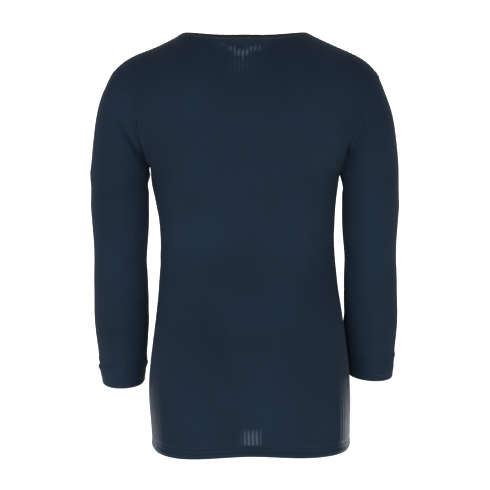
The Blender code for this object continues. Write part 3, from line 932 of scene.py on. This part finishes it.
@dataclass
class Body:
    """The back and front panels: torso, yoke, neck edge, turned hem and side seams."""

    sections: tuple[Section, ...] = (
        Section(-0.720, 0.1722, 0.1120, 0.1000, 3.0, 0.0107),
        Section(-0.604, 0.1752, 0.1170, 0.0980, 2.8, 0.0075),
        Section(-0.505, 0.1643, 0.1060, 0.0960, 2.6, 0.0074),
        Section(-0.393, 0.1525, 0.0970, 0.0990, 2.5, 0.0046),
        Section(-0.305, 0.1561, 0.1120, 0.1142, 2.4, 0.0026),
        Section(-0.247, 0.1660, 0.1150, 0.1170, 2.3, 0.0000),
        Section(-0.180, 0.1740, 0.1150, 0.1170, 2.3, 0.0000),
    )
    underarm: float = -0.247
    hem_fade_top: float = -0.505
    ribs: int = 72
    columns_per_rib: int = 6
    rib_rise: float = 0.0005
    wall: float = 0.0011
    hem_wall: float = 0.0022
    hem_height: float = 0.0200
    hem_step: float = 0.0010
    stitch_sink: float = 0.0003
    yoke_spread: float = 0.150
    shoulder_roll: float = 2.3
    shoulder_slope: float = 0.44
    shoulder_run: float = 0.120
    shoulder_round: float = 0.0200
    shoulder_round_power: float = 6.0
    slack_at: float = -0.157
    slack_width: float = 0.034
    slack_depth: float = 0.0034
    neck_half_width: float = 0.118
    neck_point_z: float = -0.0055
    neck_rise: float = 0.028
    neck_evenness: float = 0.8
    over_neck_power: float = 2.8
    reach_rounds: int = 12
    neck_columns: int = 105
    patch_step: float = 0.004
    patch_height: float = 0.060
    torso_bands: int = 59
    yoke_bands: int = 28
    half_girth: float = 0.234
    seam_share: float = 0.010
    calm_share: float = 0.06
    drift: float = 0.0012

    @property
    def half_columns(self) -> int:
        """Columns from a panel's centre line to its side seam."""
        return self.ribs * self.columns_per_rib // 2

    @property
    def neck_share(self) -> float:
        """The neck point's place across a panel."""
        return self.neck_columns / self.half_columns

    def across(self) -> np.ndarray:
        """Each column's place across a panel, -1 at the left seam and 1 at the right."""
        return np.arange(-self.half_columns, self.half_columns + 1) / self.half_columns

    def levels(self) -> np.ndarray:
        """Heights of the torso's rows: close in the hem, 4 mm apart just above it, then 7 mm."""
        hem = self.sections[0].z
        low = hem + np.array(HEM_ROWS) * MM
        patch = np.arange(low[-1] + self.patch_step, hem + self.patch_height, self.patch_step)
        rest = np.linspace(patch[-1], self.underarm, self.torso_bands + 1)[1:]
        return np.concatenate([low, patch, rest])

    def torso_rows(self, cut: PanelCut, z: np.ndarray, across: np.ndarray) -> Points:
        """Rows up to the underarm: equal shares of each section's length, lowered by the hem.

        Args:
            cut: the panel.
            z: the rows' heights.
            across: the columns' places.

        Returns:
            Rows of points.
        """
        names = ("half_width", cut.half.name.lower(), "squareness", "lean")
        sizes = [looked_up(self.sections, "z", name, z) for name in names]
        fade = np.clip((self.hem_fade_top - z) / (self.hem_fade_top - self.sections[0].z), 0.0, 1.0)
        drop = looked_up(cut.hem, "across", "drop", across)
        rows = []
        for level, share, width, depth, power, lean in zip(z, fade, *sizes):
            x, y = quarter_points(np.abs(across), width, depth, power)
            row = [np.sign(across) * x + lean, cut.half.value * y, level - share * drop]
            rows.append(np.stack(row, axis=-1))
        return np.array(rows)

    def shoulder_line(self, x: np.ndarray) -> np.ndarray:
        """Height of the shoulders at a distance out from the middle, carried on over the neck."""
        run = np.clip((x - self.neck_half_width) / self.shoulder_run, 0, None)
        fall = self.shoulder_slope * self.shoulder_run * run
        fall = fall + self.shoulder_round * run**self.shoulder_round_power
        rise = self.neck_rise * np.clip(1 - (x / self.neck_half_width) ** 2, 0, 1)
        return self.neck_point_z + rise - fall

    def full_depth(self, cut: PanelCut, x: np.ndarray, height: np.ndarray) -> np.ndarray:
        """Depth, at a distance out from the middle, of body and sleeve heads before the roll."""
        base = self.sections[-2]
        half_width = base.half_width + self.yoke_spread * height
        inside = 1 - np.clip(x / half_width, 0, 1) ** base.squareness
        return getattr(base, cut.half.name.lower()) * inside ** (1 / base.squareness)

    def yoke_rows(self, cut: PanelCut, shares: np.ndarray, across: np.ndarray) -> Points:
        """Rows from the underarm to the shoulder seam and neck edge.

        At a height share h a point lies full_depth * (1 - h^r)^(1/r) out from the middle plane,
        and its z is the shoulder line's share h above the underarm.

        Args:
            cut: the panel.
            shares: the rows' shares of the way up, above 0 and up to 1.
            across: the columns' places.

        Returns:
            Rows of points.
        """
        base = self.sections[-2]
        out = np.abs(across)
        depth = getattr(base, cut.half.name.lower())
        base_x, _ = quarter_points(out, base.half_width, depth, base.squareness)
        edge_x, edge_y = self._top_edge(cut, out)
        beside = (edge_x / self.neck_half_width) ** self.over_neck_power
        over_neck = np.clip(1 - beside, 0, 1) ** 2
        roll = self.shoulder_roll + (cut.centre_roll - self.shoulder_roll) * over_neck
        reach = np.ones(len(across))
        for _ in range(self.reach_rounds):
            inside = edge_y / self.full_depth(cut, edge_x, reach)
            reach = (1 - inside**roll) ** (1 / roll)
        share = shares[:, None]
        height = reach * share
        x = base_x + (edge_x - base_x) * share
        y = self.full_depth(cut, x, height) * np.clip(1 - height**roll, 0, 1) ** (1 / roll)
        signed_x = np.sign(across) * x
        slack = self.slack_depth * bell(signed_x - self.slack_at, self.slack_width)
        z = self.underarm + (self.shoulder_line(x) - slack - self.underarm) * height
        return np.stack([signed_x, cut.half.value * y, z], axis=-1)

    def _top_edge(self, cut: PanelCut, out: np.ndarray) -> tuple[np.ndarray, np.ndarray]:
        """The neck edge and shoulder seam seen from above: x and y by the share out."""
        straight = np.clip(out / self.neck_share, 0.0, 1.0)
        fine = np.linspace(0, 1, 400)
        neck = (self.neck_half_width, cut.neck_depth, cut.neck_squareness)
        fine_x, _ = quarter_points(fine, *neck)
        below = np.interp(straight * self.neck_half_width, fine_x, fine)
        places = self.neck_evenness * below + (1 - self.neck_evenness) * straight
        x, y = quarter_points(places, *neck)
        y[out >= self.neck_share] = 0.0
        run = np.clip(out - self.neck_share, 0, None) / (1 - self.neck_share)
        return x + self.shoulder_run * run, y

    def grid(self, cut: PanelCut) -> Points:
        """A panel's mid cloth without ribs: torso and yoke rows with the largest folds."""
        across = self.across()
        shares = 0.5 - 0.5 * np.cos(math.pi * np.arange(1, self.yoke_bands + 1) / self.yoke_bands)
        rows = [self.torso_rows(cut, self.levels(), across), self.yoke_rows(cut, shares, across)]
        grid = np.concatenate(rows)
        return grid + sum(fold.moved(grid) for fold in FOLDS + ARMPIT_FOLDS + BODY_FOLDS)

    def normals(self, grid: Points) -> Points:
        """A panel's normals, level with the seams' plane along side and shoulder seams."""
        normal = grid_normals(grid, wraps=False)
        normal[-1] = normal[-2]
        below = len(grid) - self.yoke_bands
        normal[:below, [0, -1], 1] = 0.0
        normal[-1, np.abs(self.across()) >= self.neck_share, 1] = 0.0
        return unit(normal)

    def relief(self, cut: PanelCut, grid: Points) -> np.ndarray:
        """How far the outer face stands out from the mid cloth.

        The ribs flatten at the seams and under the hem's stitching, where the cloth is pulled
        in; the turned hem puffs out between its stitching and its edge. Creases are added where
        they are away from seams.

        Args:
            cut: the panel.
            grid: the panel's mid cloth.

        Returns:
            The offset of each point along its normal.
        """
        across = self.across()
        inward = 1 - np.abs(across)
        above = self._above_hem()
        pinch = banded(HEM_PINCH, above)
        flattened = np.clip(1 - HEM_FLATTENED * pinch, 0, 1)
        strength = np.clip(inward / self.seam_share, 0, 1) * flattened[:, None]
        strength[above < HEM_ROUND] *= 0.5
        strength[-1] = 0.0
        offset = self.rib_rise * rib_height(across * self.half_columns, self.columns_per_rib) * strength
        offset = offset + (banded(HEM_PUFF, above) - HEM_PULLED_IN * pinch)[:, None]
        x, z = grid[..., 0], grid[..., 2]
        offset = offset - seam_depth(z) * bell(inward * self.half_girth, SEAM_WIDTH)
        calm = np.clip(inward / self.calm_share, 0, 1)
        for crease in cut.creases:
            offset = offset + calm * crease.offset(across[None], z, self.half_girth, 0.0)
        drift = wobble(x + 0.3 * z, (0.11, 0.19, 0.33), 5 + cut.half.value)
        drift = drift * wobble(z - 0.2 * x, (0.13, 0.21), 9 + cut.half.value)
        return offset + self.drift * drift * calm

    def _above_hem(self) -> np.ndarray:
        """Each row's height above the hem's edge, and 1 m for the yoke's rows."""
        levels = self.levels()
        return np.concatenate([levels - levels[0], np.ones(self.yoke_bands)])

    def build(
        self, cut: PanelCut, knit: bpy.types.Material, thread: bpy.types.Material
    ) -> tuple[Points, Points]:
        """Make a panel and its hem's stitching, and hide the solid that they replace.

        Args:
            cut: the panel.
            knit: the cloth's material.
            thread: the sewing thread's.

        Returns:
            Its mid cloth and normals, for the pieces sewn to it.
        """
        grid = self.grid(cut)
        normal = self.normals(grid)
        raised = self.relief(cut, grid)[..., None] * normal
        above = self._above_hem()
        doubled = np.clip((self.hem_height - above) / self.hem_step, 0, 1)
        thick = self.wall + (self.hem_wall - self.wall) * doubled
        inner = grid - thick[:, None, None] * normal
        inner = inner + raised * INSIDE_RELIEF * (above > self.hem_height)[:, None, None]
        # Painted light through the ribs, on the back only
        painted_light_amount = self._painted_light_share(grid) if cut.half is Half.BACK else None
        piece = Wall(f"{cut.node}_cloth", grid + raised, inner, False, painted_light_amount).build(knit)
        dress(piece, "rib_knit", cut.node)
        lines = [self._hem_line(grid, normal, place) for place in HEM_SEAMS]
        stitching = Stitches().build(f"{cut.half.name.lower()}_hem_stitching", lines, thread)
        dress(stitching, "rib_knit")
        return grid, normal

    def _hem_line(self, grid: Points, normal: Points, place: float) -> tuple[Points, Points]:
        """Points and normals for a row of stitches at a height above the hem's edge."""
        above = np.array(HEM_ROWS) * MM
        row = int(np.searchsorted(above, place))
        share = (place - above[row - 1]) / (above[row] - above[row - 1])
        line = grid[row - 1] * (1 - share) + grid[row] * share
        return line - self.stitch_sink * normal[row], normal[row]

    def _painted_light_share(self, grid: Points) -> np.ndarray:
        """How much light is painted between the back's ribs, below the neck and above the hem.

        Below the neck the painted pale strokes end on a V, above the hem on the stitching. They follow
        the grooves between the ribs. Next to the neck tape a faint lighter band is painted as well.
        the grooves between the ribs.

        Args:
            grid: the back's mid cloth.

        Returns:
            A value from 0 to 1 for each point.
        """
        place = self.across() * self.half_columns / self.columns_per_rib
        groove = 0.5 - 0.5 * np.cos(2 * math.pi * place)
        x, z = grid[..., 0], grid[..., 2]
        ends = [looked_up(PAINTED_V_ENDS, "x", end, x) for end in ("low", "high")]
        neck = between(z, ends, (0.004, 0.004)) * plateau(x - NECK_MIDDLE, NECK_REACH)
        neck = NECK_LIGHT * neck * (0.7 + 0.3 * bell(x + 0.003, 0.012))
        trail = NECK_LIGHT * TRAIL_LIGHT * between(z, TRAIL_ENDS, (0.010, 0.008)) * bell(x + 0.010, 0.022)
        hem = HEM_LIGHT * between(z, HEM_ENDS, (0.003, 0.010)) * plateau(x - HEM_MIDDLE, HEM_REACH)
        edge = EDGE_LIGHT * bell(grid[-1, :, 2] - z, 0.009) * bell(x, 0.060)
        return groove * np.clip(neck + trail + hem, 0, 1) + edge


def dress(piece: bpy.types.Object, slot: str, *nodes: str) -> None:
    """Let a piece ride the body, hide the solids that it stands for, and log its faces."""
    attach(piece, "root")
    if nodes:
        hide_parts(*nodes)
    LOG.info("%s: %d faces", piece.name, len(piece.data.polygons))


# ---------------------------------------------------------------- the sleeves


@dataclass(frozen=True)
class ArmSection:
    """A section of the sleeve's tube, by its distance down the arm."""

    along: float
    centre_x: float
    half_width: float
    half_depth: float


# The sleeve's last rows, in mm above the cuff's seam, and the cuff's rows, in mm below it
SLEEVE_END_ROWS = (22, 18, 14.5, 11.5, 9, 7, 5.5, 4.2, 3, 2, 1, 0.3)
CUFF_ROWS = (0.3, 1, 2, 3.5, 6, 9, 12, 15, 18, 21, 24, 26.5, 28, 29, 30, 31.5, 33, 34, 35, 37, 39, 41, 42)

# The cuff's two rows of stitching, and how its girth and the sleeve's end swell beside the seams
CUFF_SEAMS = (0.029, 0.034)
CUFF_PINCH = tuple(Band(place, 0.0012, 1.0) for place in CUFF_SEAMS)
CUFF_SWELL = (Band(0.0, 0.0018, -0.0001), Band(0.038, 0.0022, 0.0005), Band(0.042, 0.0028, -0.0014))
SLEEVE_END_SWELL = (Band(-0.0030, 0.0042, 0.0011), Band(0.0, 0.0016, -0.0001))

# Puckers by the armhole, where the sleeve is gathered above the cuff, and in the cuff's top
ARMHOLE_CRUMPLE = Crumple((31, 19, 13), 41, (Band(0.006, 0.007, 0.0005),))
GATHERS = Crumple((17, 11, 7), 31, (Band(0.007, 0.011, 0.0010), Band(0.0, 0.002, -0.0010)))
CUFF_CRUMPLE = Crumple((13, 9, 5), 51, (Band(0.006, 0.010, 0.0007),))


@dataclass
class Sleeve:
    """A sleeve with its gathered cuff: sleeve head from the armhole, tube, seam and band."""

    arm: Arm
    bend: float
    wrist_out: float
    taken_up: float
    head_drop: float
    tip: float
    folds: tuple[Fold, ...]
    creases: tuple[Crease, ...]
    sections: tuple[ArmSection, ...] = (
        ArmSection(0.000, 0.2206, 0.0501, 0.0570),
        ArmSection(0.048, 0.2188, 0.0475, 0.0540),
        ArmSection(0.093, 0.2190, 0.0448, 0.0495),
        ArmSection(0.145, 0.2186, 0.0468, 0.0485),
        ArmSection(0.200, 0.2182, 0.0468, 0.0465),
        ArmSection(0.245, 0.2172, 0.0448, 0.0432),
        ArmSection(0.283, 0.2160, 0.0411, 0.0397),
        ArmSection(0.325, 0.2145, 0.0368, 0.0360),
    )
    tube_top: float = -0.300
    tube_y: float = -0.006
    elbow_start: float = 0.050
    elbow_end: float = 0.150
    head_drop_under: float = 0.012
    seam_along: float = 0.283
    cuff_length: float = 0.042
    cuff_wall: float = 0.0020
    wall: float = 0.0011
    rib_rise: float = 0.0005
    ribs: int = 46
    columns_per_rib: int = 6
    head_rows: int = 26
    row_step: float = 0.0062
    end_rows: float = 0.024
    settle_fade: float = 0.030
    girth: float = 0.32
    drift: float = 0.0009
    head_crowding: float = 1.15
    head_fade: float = 0.0025
    seam_fade: float = 0.002
    drift_fade: float = 0.05
    cuff_swell: float = 0.0012
    cuff_rib_rise: float = 0.0003
    cuff_fade: float = 0.003
    cuff_flattened: float = 0.8
    cuff_pulled_in: float = 0.0003

    @property
    def side(self) -> str:
        """left or right, for names."""
        return self.arm.name.lower()

    def turns(self) -> np.ndarray:
        """Each column's place round the arm: 0 outermost, a quarter at the back."""
        count = self.ribs * self.columns_per_rib
        return np.arange(count) / count

    def rib(self) -> np.ndarray:
        """Each column's height on its rib."""
        return rib_height(np.arange(self.ribs * self.columns_per_rib), self.columns_per_rib)

    def armhole(self, back: Points, front: Points, bands: int) -> Points:
        """The armhole's edge as a ring: down the back from the shoulder's end, up the front.

        Points are spaced evenly along each half, so that the lowest one lies under the arm.

        Args:
            back: the back panel's mid cloth.
            front: the front panel's.
            bands: how many bands of rows the yoke has.

        Returns:
            One point for each column of the sleeve.
        """
        edge = -1 if self.arm is Arm.RIGHT else 0
        behind, ahead = back[-1 - bands :, edge][::-1], front[-1 - bands :, edge]
        half = len(self.turns()) // 2
        halves = []
        for line in (behind, ahead):
            length = arc(line)
            at = np.linspace(0, length[-1], half, endpoint=False)
            halves.append(points_at(at, length, line))
        return np.concatenate(halves)

    def rings(self, along: np.ndarray, swell: np.ndarray | float = 0.0) -> Points:
        """Ellipses square to the arm's line, which tilts forward smoothly over the elbow.

        Args:
            along: distances down the arm.
            swell: what is added to both half sizes of each ring.

        Returns:
            A ring of points for each distance.
        """
        length = self.sections[-1].along
        fine = np.linspace(0.0, length + 0.001, 400)
        turn = np.clip((fine - self.elbow_start) / (self.elbow_end - self.elbow_start), 0.0, 1.0)
        tilt = self.bend * smoothstep(turn)
        step = np.gradient(fine)
        shortened = 1 - self.taken_up * turn / length
        y = self.tube_y + np.cumsum(np.sin(tilt) * step) - np.sin(tilt[0]) * step[0]
        z = self.tube_top - np.cumsum(np.cos(tilt) * step * shortened) + step[0]
        x = looked_up(self.sections, "along", "centre_x", fine)
        x = self.arm.value * (x + self.wrist_out * (fine / fine[-1]) ** 2)
        line = np.stack([x, y, z], axis=1)
        heading = unit(np.gradient(line, fine, axis=0))
        centre = points_at(along, fine, line)
        ahead = points_at(along, fine, heading)
        sign = float(self.arm.value)
        sideways = unit(np.array([sign, 0.0, 0.0]) - sign * ahead[:, :1] * ahead)
        rearward = np.cross(ahead, sideways) * sign
        wide = looked_up(self.sections, "along", "half_width", along) + swell
        deep = looked_up(self.sections, "along", "half_depth", along) + swell
        angle = self.turns() * 2 * math.pi
        outward_part, rear_part = wide[:, None] * np.cos(angle), deep[:, None] * np.sin(angle)
        rings = centre[:, None] + outward_part[..., None] * sideways[:, None]
        rings = rings + rear_part[..., None] * rearward[:, None]
        rings[..., 2] -= self.tip * (along[:, None] / length) ** 2 * outward_part
        return rings

    def grid(self, ring: Points) -> Points:
        """The sleeve's mid cloth: curves from the armhole to the tube, then the tube's rings.

        A curve is (1-t)^2 edge + 2t(1-t) bend + t^2 tube, with its bend plumb over the tube.
        """
        plain = np.arange(0, self.seam_along - self.end_rows, self.row_step)
        along = np.concatenate([plain, self.seam_along - np.array(SLEEVE_END_ROWS) * MM])
        tube = self.rings(along, banded(SLEEVE_END_SWELL, along - self.seam_along))
        over = 0.5 + 0.5 * np.cos(2 * math.pi * self.turns())
        drop = self.head_drop_under + (self.head_drop - self.head_drop_under) * over
        bend = tube[0].copy()
        bend[:, 2] = ring[:, 2] - drop
        t = np.linspace(0, 1, self.head_rows, endpoint=False)[:, None, None] ** self.head_crowding
        head = (1 - t) ** 2 * ring + 2 * t * (1 - t) * bend + t**2 * tube[0]
        grid = np.concatenate([head, tube])
        grid[1:] += sum(fold.moved(grid[1:]) for fold in FOLDS + ARMPIT_FOLDS)
        settled = sum(fold.moved(grid) for fold in self.folds)
        return grid + smoothstep(arc(grid[:, 0]) / self.settle_fade)[:, None, None] * settled

    def build(self, ring: Points, knit: bpy.types.Material, thread: bpy.types.Material) -> None:
        """Make the sleeve, its cuff and the cuff's stitching.

        Args:
            ring: the armhole's edge.
            knit: the cloth's material.
            thread: the sewing thread's.
        """
        grid = self.grid(ring)
        normal = grid_normals(grid, wraps=True)
        turn = self.turns()
        from_head = arc(grid[:, len(turn) // 4])
        to_seam = from_head[-1] - from_head
        strength = smoothstep(from_head / self.head_fade) * smoothstep(to_seam / self.seam_fade)
        sunk = seam_depth(grid[0, :, 2])
        offset = self.rib_rise * self.rib() * strength[:, None]
        offset = offset - sunk * bell(from_head, SEAM_WIDTH)[:, None]
        offset = offset + GATHERS.offset(turn, to_seam, self.arm)
        offset = offset + ARMHOLE_CRUMPLE.offset(turn, from_head, self.arm)
        z = grid[..., 2]
        for crease in self.creases:
            offset = offset + crease.offset(turn[None], z, self.girth, 1.0)
        drift = wobble(z + 0.05 * np.sin(2 * math.pi * turn), (0.09, 0.15, 0.27), 21)
        offset = offset + self.drift * drift * smoothstep(from_head / self.drift_fade)[:, None]
        offset[0] = -sunk
        raised = offset[..., None] * normal
        inner = grid - self.wall * normal + INSIDE_RELIEF * raised
        piece = Wall(f"{self.side}_sleeve_cloth", grid + raised, inner, True).build(knit)
        dress(piece, "rib_knit", f"{self.side}_sleeve")
        self._cuff(knit, thread)

    def _cuff(self, knit: bpy.types.Material, thread: bpy.types.Material) -> None:
        """Make the cuff: a doubled band, pulled in by two rows of stitching near its edge."""
        down = np.array(CUFF_ROWS) * MM
        pinch = banded(CUFF_PINCH, down)
        swell = self.cuff_swell * np.sin(math.pi * down / self.cuff_length) ** 0.8
        swell = swell + banded(CUFF_SWELL, down) - self.cuff_pulled_in * pinch
        grid = self.rings(self.seam_along + down, swell)
        grid = grid + sum(fold.moved(grid) for fold in self.folds)
        normal = grid_normals(grid, wraps=True)
        flattened = np.clip(1 - self.cuff_flattened * pinch, 0, 1)
        strength = smoothstep(down / self.cuff_fade) * flattened
        offset = self.cuff_rib_rise * self.rib() * strength[:, None]
        offset = offset + CUFF_CRUMPLE.offset(self.turns(), down, self.arm)
        outer = grid + offset[..., None] * normal
        inner = grid - self.cuff_wall * normal
        piece = Wall(f"{self.side}_cuff_cloth", outer, inner, True).build(knit)
        dress(piece, "cuff_knit", f"{self.side}_cuff")
        rows = [int(np.argmin(np.abs(down - place))) for place in CUFF_SEAMS]
        lines = [(closed(outer[row]), closed(normal[row])) for row in rows]
        stitching = Stitches().build(f"{self.side}_cuff_stitching", lines, thread)
        dress(stitching, "cuff_knit")


# ---------------------------------------------------------------- the neck


@dataclass
class NeckBinding:
    """The narrow doubled tape that stands on the neck edge, and the stitching under it."""

    height: float = 0.0096
    thickness: float = 0.0022
    # A painted highlight on the tape's lower edge by the seam: its strength, how high it reaches and how
    # softly it ends
    painted_seam_highlight: float = 0.075
    light_height: float = 0.0036
    light_fade: float = 0.0014
    above_edge: float = 0.0002
    set_in: float = 0.0003
    ripple: float = 0.00022
    stitched_below: float = 0.0014
    stitched_out: float = 0.0004
    around: int = 720
    profile_points: int = 20
    evening: int = 160

    def build(self, body: Body, panels: dict, tape: bpy.types.Material, thread: bpy.types.Material) -> None:
        """Make the tape, with a painted highlight along its lower edge, and the row of stitches that shows
        on the body below it.

        The profile is a rounded oblong, |u|^4 + |v|^4 = 1, that follows the neck edge and
        stands along the edge's own upward direction.

        Args:
            body: the body, for where the neck edge lies on the panels.
            panels: half to (mid cloth, normals).
            tape: the tape's material.
            thread: the sewing thread's.
        """
        ring, out = self._edge(body, panels)
        along = unit(np.roll(ring, -1, axis=0) - np.roll(ring, 1, axis=0))
        up = unit(np.cross(out, along))
        angle = np.arange(self.profile_points) * 2 * math.pi / self.profile_points
        u, v = (np.sign(wave) * np.abs(wave) ** 0.5 for wave in (np.sin(angle), np.cos(angle)))
        high = 0.5 + 0.5 * u
        rise = self.above_edge + self.height * high
        outward = self.thickness / 2 * v * (1 - 0.25 * high**4) - self.set_in
        ripple = self.ripple * wobble(arc(closed(ring))[:-1], (0.009, 0.014, 0.023), 61)
        outward = outward[:, None] + ripple * high[:, None]
        rows = ring + rise[:, None, None] * up + outward[..., None] * out
        cloth = (arc(closed(rows[0])), arc(closed(rows[:, 0])))
        piece = closed_object("neck_binding_tape", rows, cloth, [], tape)
        # Painted highlight: the tape's lower edge is painted pale where it would catch the light
        pale = self.painted_seam_highlight * smoothstep((self.light_height - rise) / self.light_fade)
        mark_painted_light(piece, np.repeat(pale, self.around))
        dress(piece, "binding_knit", "neck_binding")
        line = ring - self.stitched_below * up + self.stitched_out * out
        lines = [(closed(line), closed(out))]
        stitching = Stitches(spacing=0.0028).build("neck_stitching", lines, thread)
        dress(stitching, "binding_knit")

    def _edge(self, body: Body, panels: dict) -> tuple[Points, Points]:
        """The neck edge as an even ring, from the left neck point round the back, with normals.

        Args:
            body: the body.
            panels: half to (mid cloth, normals).

        Returns:
            The ring's points and normals.
        """
        over = np.abs(body.across()) <= body.neck_share + 1e-9
        rings = []
        for back, front in zip(panels[Half.BACK], panels[Half.FRONT]):
            back, front = back[-1, over].copy(), front[-1, over]
            back[[0, -1]] = (back[[0, -1]] + front[[0, -1]]) / 2
            rings.append(closed(np.concatenate([back, front[-2:0:-1]])))
        length = arc(rings[0])
        at = np.linspace(0, length[-1], self.around, endpoint=False)
        points, out = (points_at(at, length, ring) for ring in rings)
        for _ in range(self.evening):
            out = (np.roll(out, 1, axis=0) + out + np.roll(out, -1, axis=0)) / 3
        return points, unit(out)


# ---------------------------------------------------------------- the studio


@dataclass(frozen=True)
class Softbox:
    """A soft square light: its place, side, watts, aim, spread in degrees and colour."""

    name: str
    place: tuple[float, float, float]
    size: float
    power: float
    aim: tuple[float, float, float] = (0.0, 0.0, -0.373)
    spread: float = 180.0
    colour: tuple[float, float, float] = (1.0, 1.0, 1.0)


WARM = (1.0, 0.95, 0.88)

# Two large ones before the back, one for the front, a dim low one at the left, and a narrow
# warm one on each side of the hips
SOFTBOXES = (
    Softbox("left", (-1.2, -2.8, -0.2), 1.6, 27.0),
    Softbox("right", (1.2, -2.8, -0.2), 1.6, 19.0),
    Softbox("front", (0.0, 3.2, 0.2), 2.2, 20.0),
    Softbox("rim_left", (-2.2, 0.8, -0.9), 1.4, 6.0),
    Softbox("hip_right", (1.27, 1.10, -0.86), 0.08, 0.17, (0.17, 0.0, -0.70), 6.5, WARM),
    Softbox("hip_left", (-1.25, 1.10, -0.86), 0.08, 0.08, (-0.17, 0.0, -0.71), 6.5, WARM),
)


@dataclass
class Studio:
    """A pale floor, white surroundings, soft lights and the camera."""

    distance: float = 2.6
    eye_level: float = -0.373
    lens_mm: float = 108.5
    floor_level: float = -1.05
    backdrop_y: float = 7.0
    air: float = 0.25
    floor_glow: float = 0.45
    backdrop_glow: float = 0.95
    panel_half: float = 9.0
    backdrop_foot: float = 1.2

    def build(self) -> None:
        """Make all of it."""
        self._surroundings()
        self._panel("floor", self.floor_level, False, self.floor_glow)
        self._panel("backdrop", self.backdrop_y, True, self.backdrop_glow)
        for softbox in SOFTBOXES:
            self._light(softbox)
        self._camera()

    def _surroundings(self) -> None:
        """Even dim light from all round."""
        world = bpy.data.worlds.new("studio_air")
        world.use_nodes = True
        white = (1.0, 1.0, 1.0, 1.0)
        set_inputs(world.node_tree.nodes["Background"], {"Color": white, "Strength": self.air})
        bpy.context.scene.world = world
        bpy.context.scene.view_settings.view_transform = "Standard"

    def _panel(self, name: str, place: float, upright: bool, glow: float) -> None:
        """A wide white panel that is lit evenly: the floor, or the wall behind the top.

        Args:
            name: the panel's name.
            place: its z when it lies flat, or its y when it is upright.
            upright: whether it stands.
            glow: the strength of its own even light.
        """
        size = self.panel_half
        corners = [(-size, -size), (size, -size), (size, size), (-size, size)]
        rise = size - self.backdrop_foot
        points = [(a, place, b + rise) if upright else (a, b, place) for a, b in corners]
        paint, _, shader = new_material(f"white_vinyl_{name}")
        values = {
            "Base Color": linear("#fbfbfa"),
            "Roughness": 0.9,
            "Emission Color": (1.0, 1.0, 1.0, 1.0),
            "Emission Strength": glow,
        }
        set_inputs(shader, values)
        panel = mesh_object(name, np.array(points), [np.array([[0, 1, 2, 3]])], paint)

    def _light(self, softbox: Softbox) -> None:
        """A square softbox, aimed at its own point."""
        light = bpy.data.lights.new(softbox.name, "AREA")
        light.size = softbox.size
        light.energy = softbox.power
        light.spread = math.radians(softbox.spread)
        light.color = softbox.colour
        lamp = new_object(softbox.name, light)
        lamp.location = softbox.place
        aim = np.array(softbox.aim) - np.array(softbox.place)
        lamp.rotation_euler = (
            math.atan2(math.hypot(aim[0], aim[1]), -aim[2]),
            0.0,
            math.atan2(aim[1], aim[0]) - math.pi / 2,
        )

    def _camera(self) -> None:
        """A level camera behind the wearer."""
        lens = bpy.data.cameras.new("camera")
        lens.lens = self.lens_mm
        lens.sensor_width = 36.0
        lens.clip_end = 60.0
        camera = new_object("camera", lens)
        camera.location = (0.0, -self.distance, self.eye_level)
        camera.rotation_euler = (math.pi / 2, 0.0, 0.0)
        bpy.context.scene.camera = camera


BACK_CUT = PanelCut(
    half=Half.BACK,
    node="back_panel",
    neck_depth=0.0675,
    neck_squareness=2.4,
    centre_roll=2.2,
    hem=(
        HemDrop(-1.00, -0.0030),
        HemDrop(-0.85, 0.0050),
        HemDrop(-0.55, 0.0150),
        HemDrop(0.00, 0.0104),
        HemDrop(0.50, 0.0130),
        HemDrop(0.85, 0.0040),
        HemDrop(1.00, -0.0035),
    ),
    creases=BACK_CREASES,
    flat=(0.52, 0.76),
    flat_area=0.36,
)

FRONT_CUT = PanelCut(
    half=Half.FRONT,
    node="front_panel",
    neck_depth=0.085,
    neck_squareness=3.1,
    centre_roll=1.7,
    hem=(HemDrop(-1.00, -0.0030), HemDrop(0.00, 0.0010), HemDrop(1.00, -0.0045)),
    creases=FRONT_CREASES,
    flat=(0.52, 0.74),
    flat_area=0.34,
)

SLEEVES = (
    Sleeve(
        arm=Arm.LEFT,
        bend=math.radians(15),
        wrist_out=0.003,
        taken_up=-0.0015,
        head_drop=0.052,
        tip=0.025,
        folds=LEFT_SLEEVE_FOLDS,
        creases=LEFT_SLEEVE_CREASES,
    ),
    Sleeve(
        arm=Arm.RIGHT,
        bend=math.radians(12),
        wrist_out=0.011,
        taken_up=0.0213,
        head_drop=0.060,
        tip=0.100,
        folds=RIGHT_SLEEVE_FOLDS,
        creases=RIGHT_SLEEVE_CREASES,
    ),
)


def main() -> None:
    """Build the top's cloth and stitching, then the studio."""
    logging.basicConfig(level=logging.INFO, format="%(name)s %(message)s")
    # Each finish's third colour is the pale colour of its painted light: through the ribs on the cloth, a
    # highlight on the tape
    knit = KnitFinish("navy_cotton_rib_jersey", "#182737", "#8796ad").material()
    tape = KnitFinish(
        "dark_navy_knit_tape", "#1c2228", "#8b9196", loop_width_mm=1.2, loop_height_mm=1.2
    ).material()
    thread = ThreadFinish("navy_spun_polyester_thread", "#222e3d").material()
    body = Body()
    panels = {}
    for cut in (BACK_CUT, FRONT_CUT):
        panels[cut.half] = body.build(cut, knit, thread)
    for sleeve in SLEEVES:
        ring = sleeve.armhole(panels[Half.BACK][0], panels[Half.FRONT][0], body.yoke_bands)
        sleeve.build(ring, knit, thread)
    NeckBinding().build(body, panels, tape, thread)
    Studio().build()


if __name__ == "__main__":
    main()
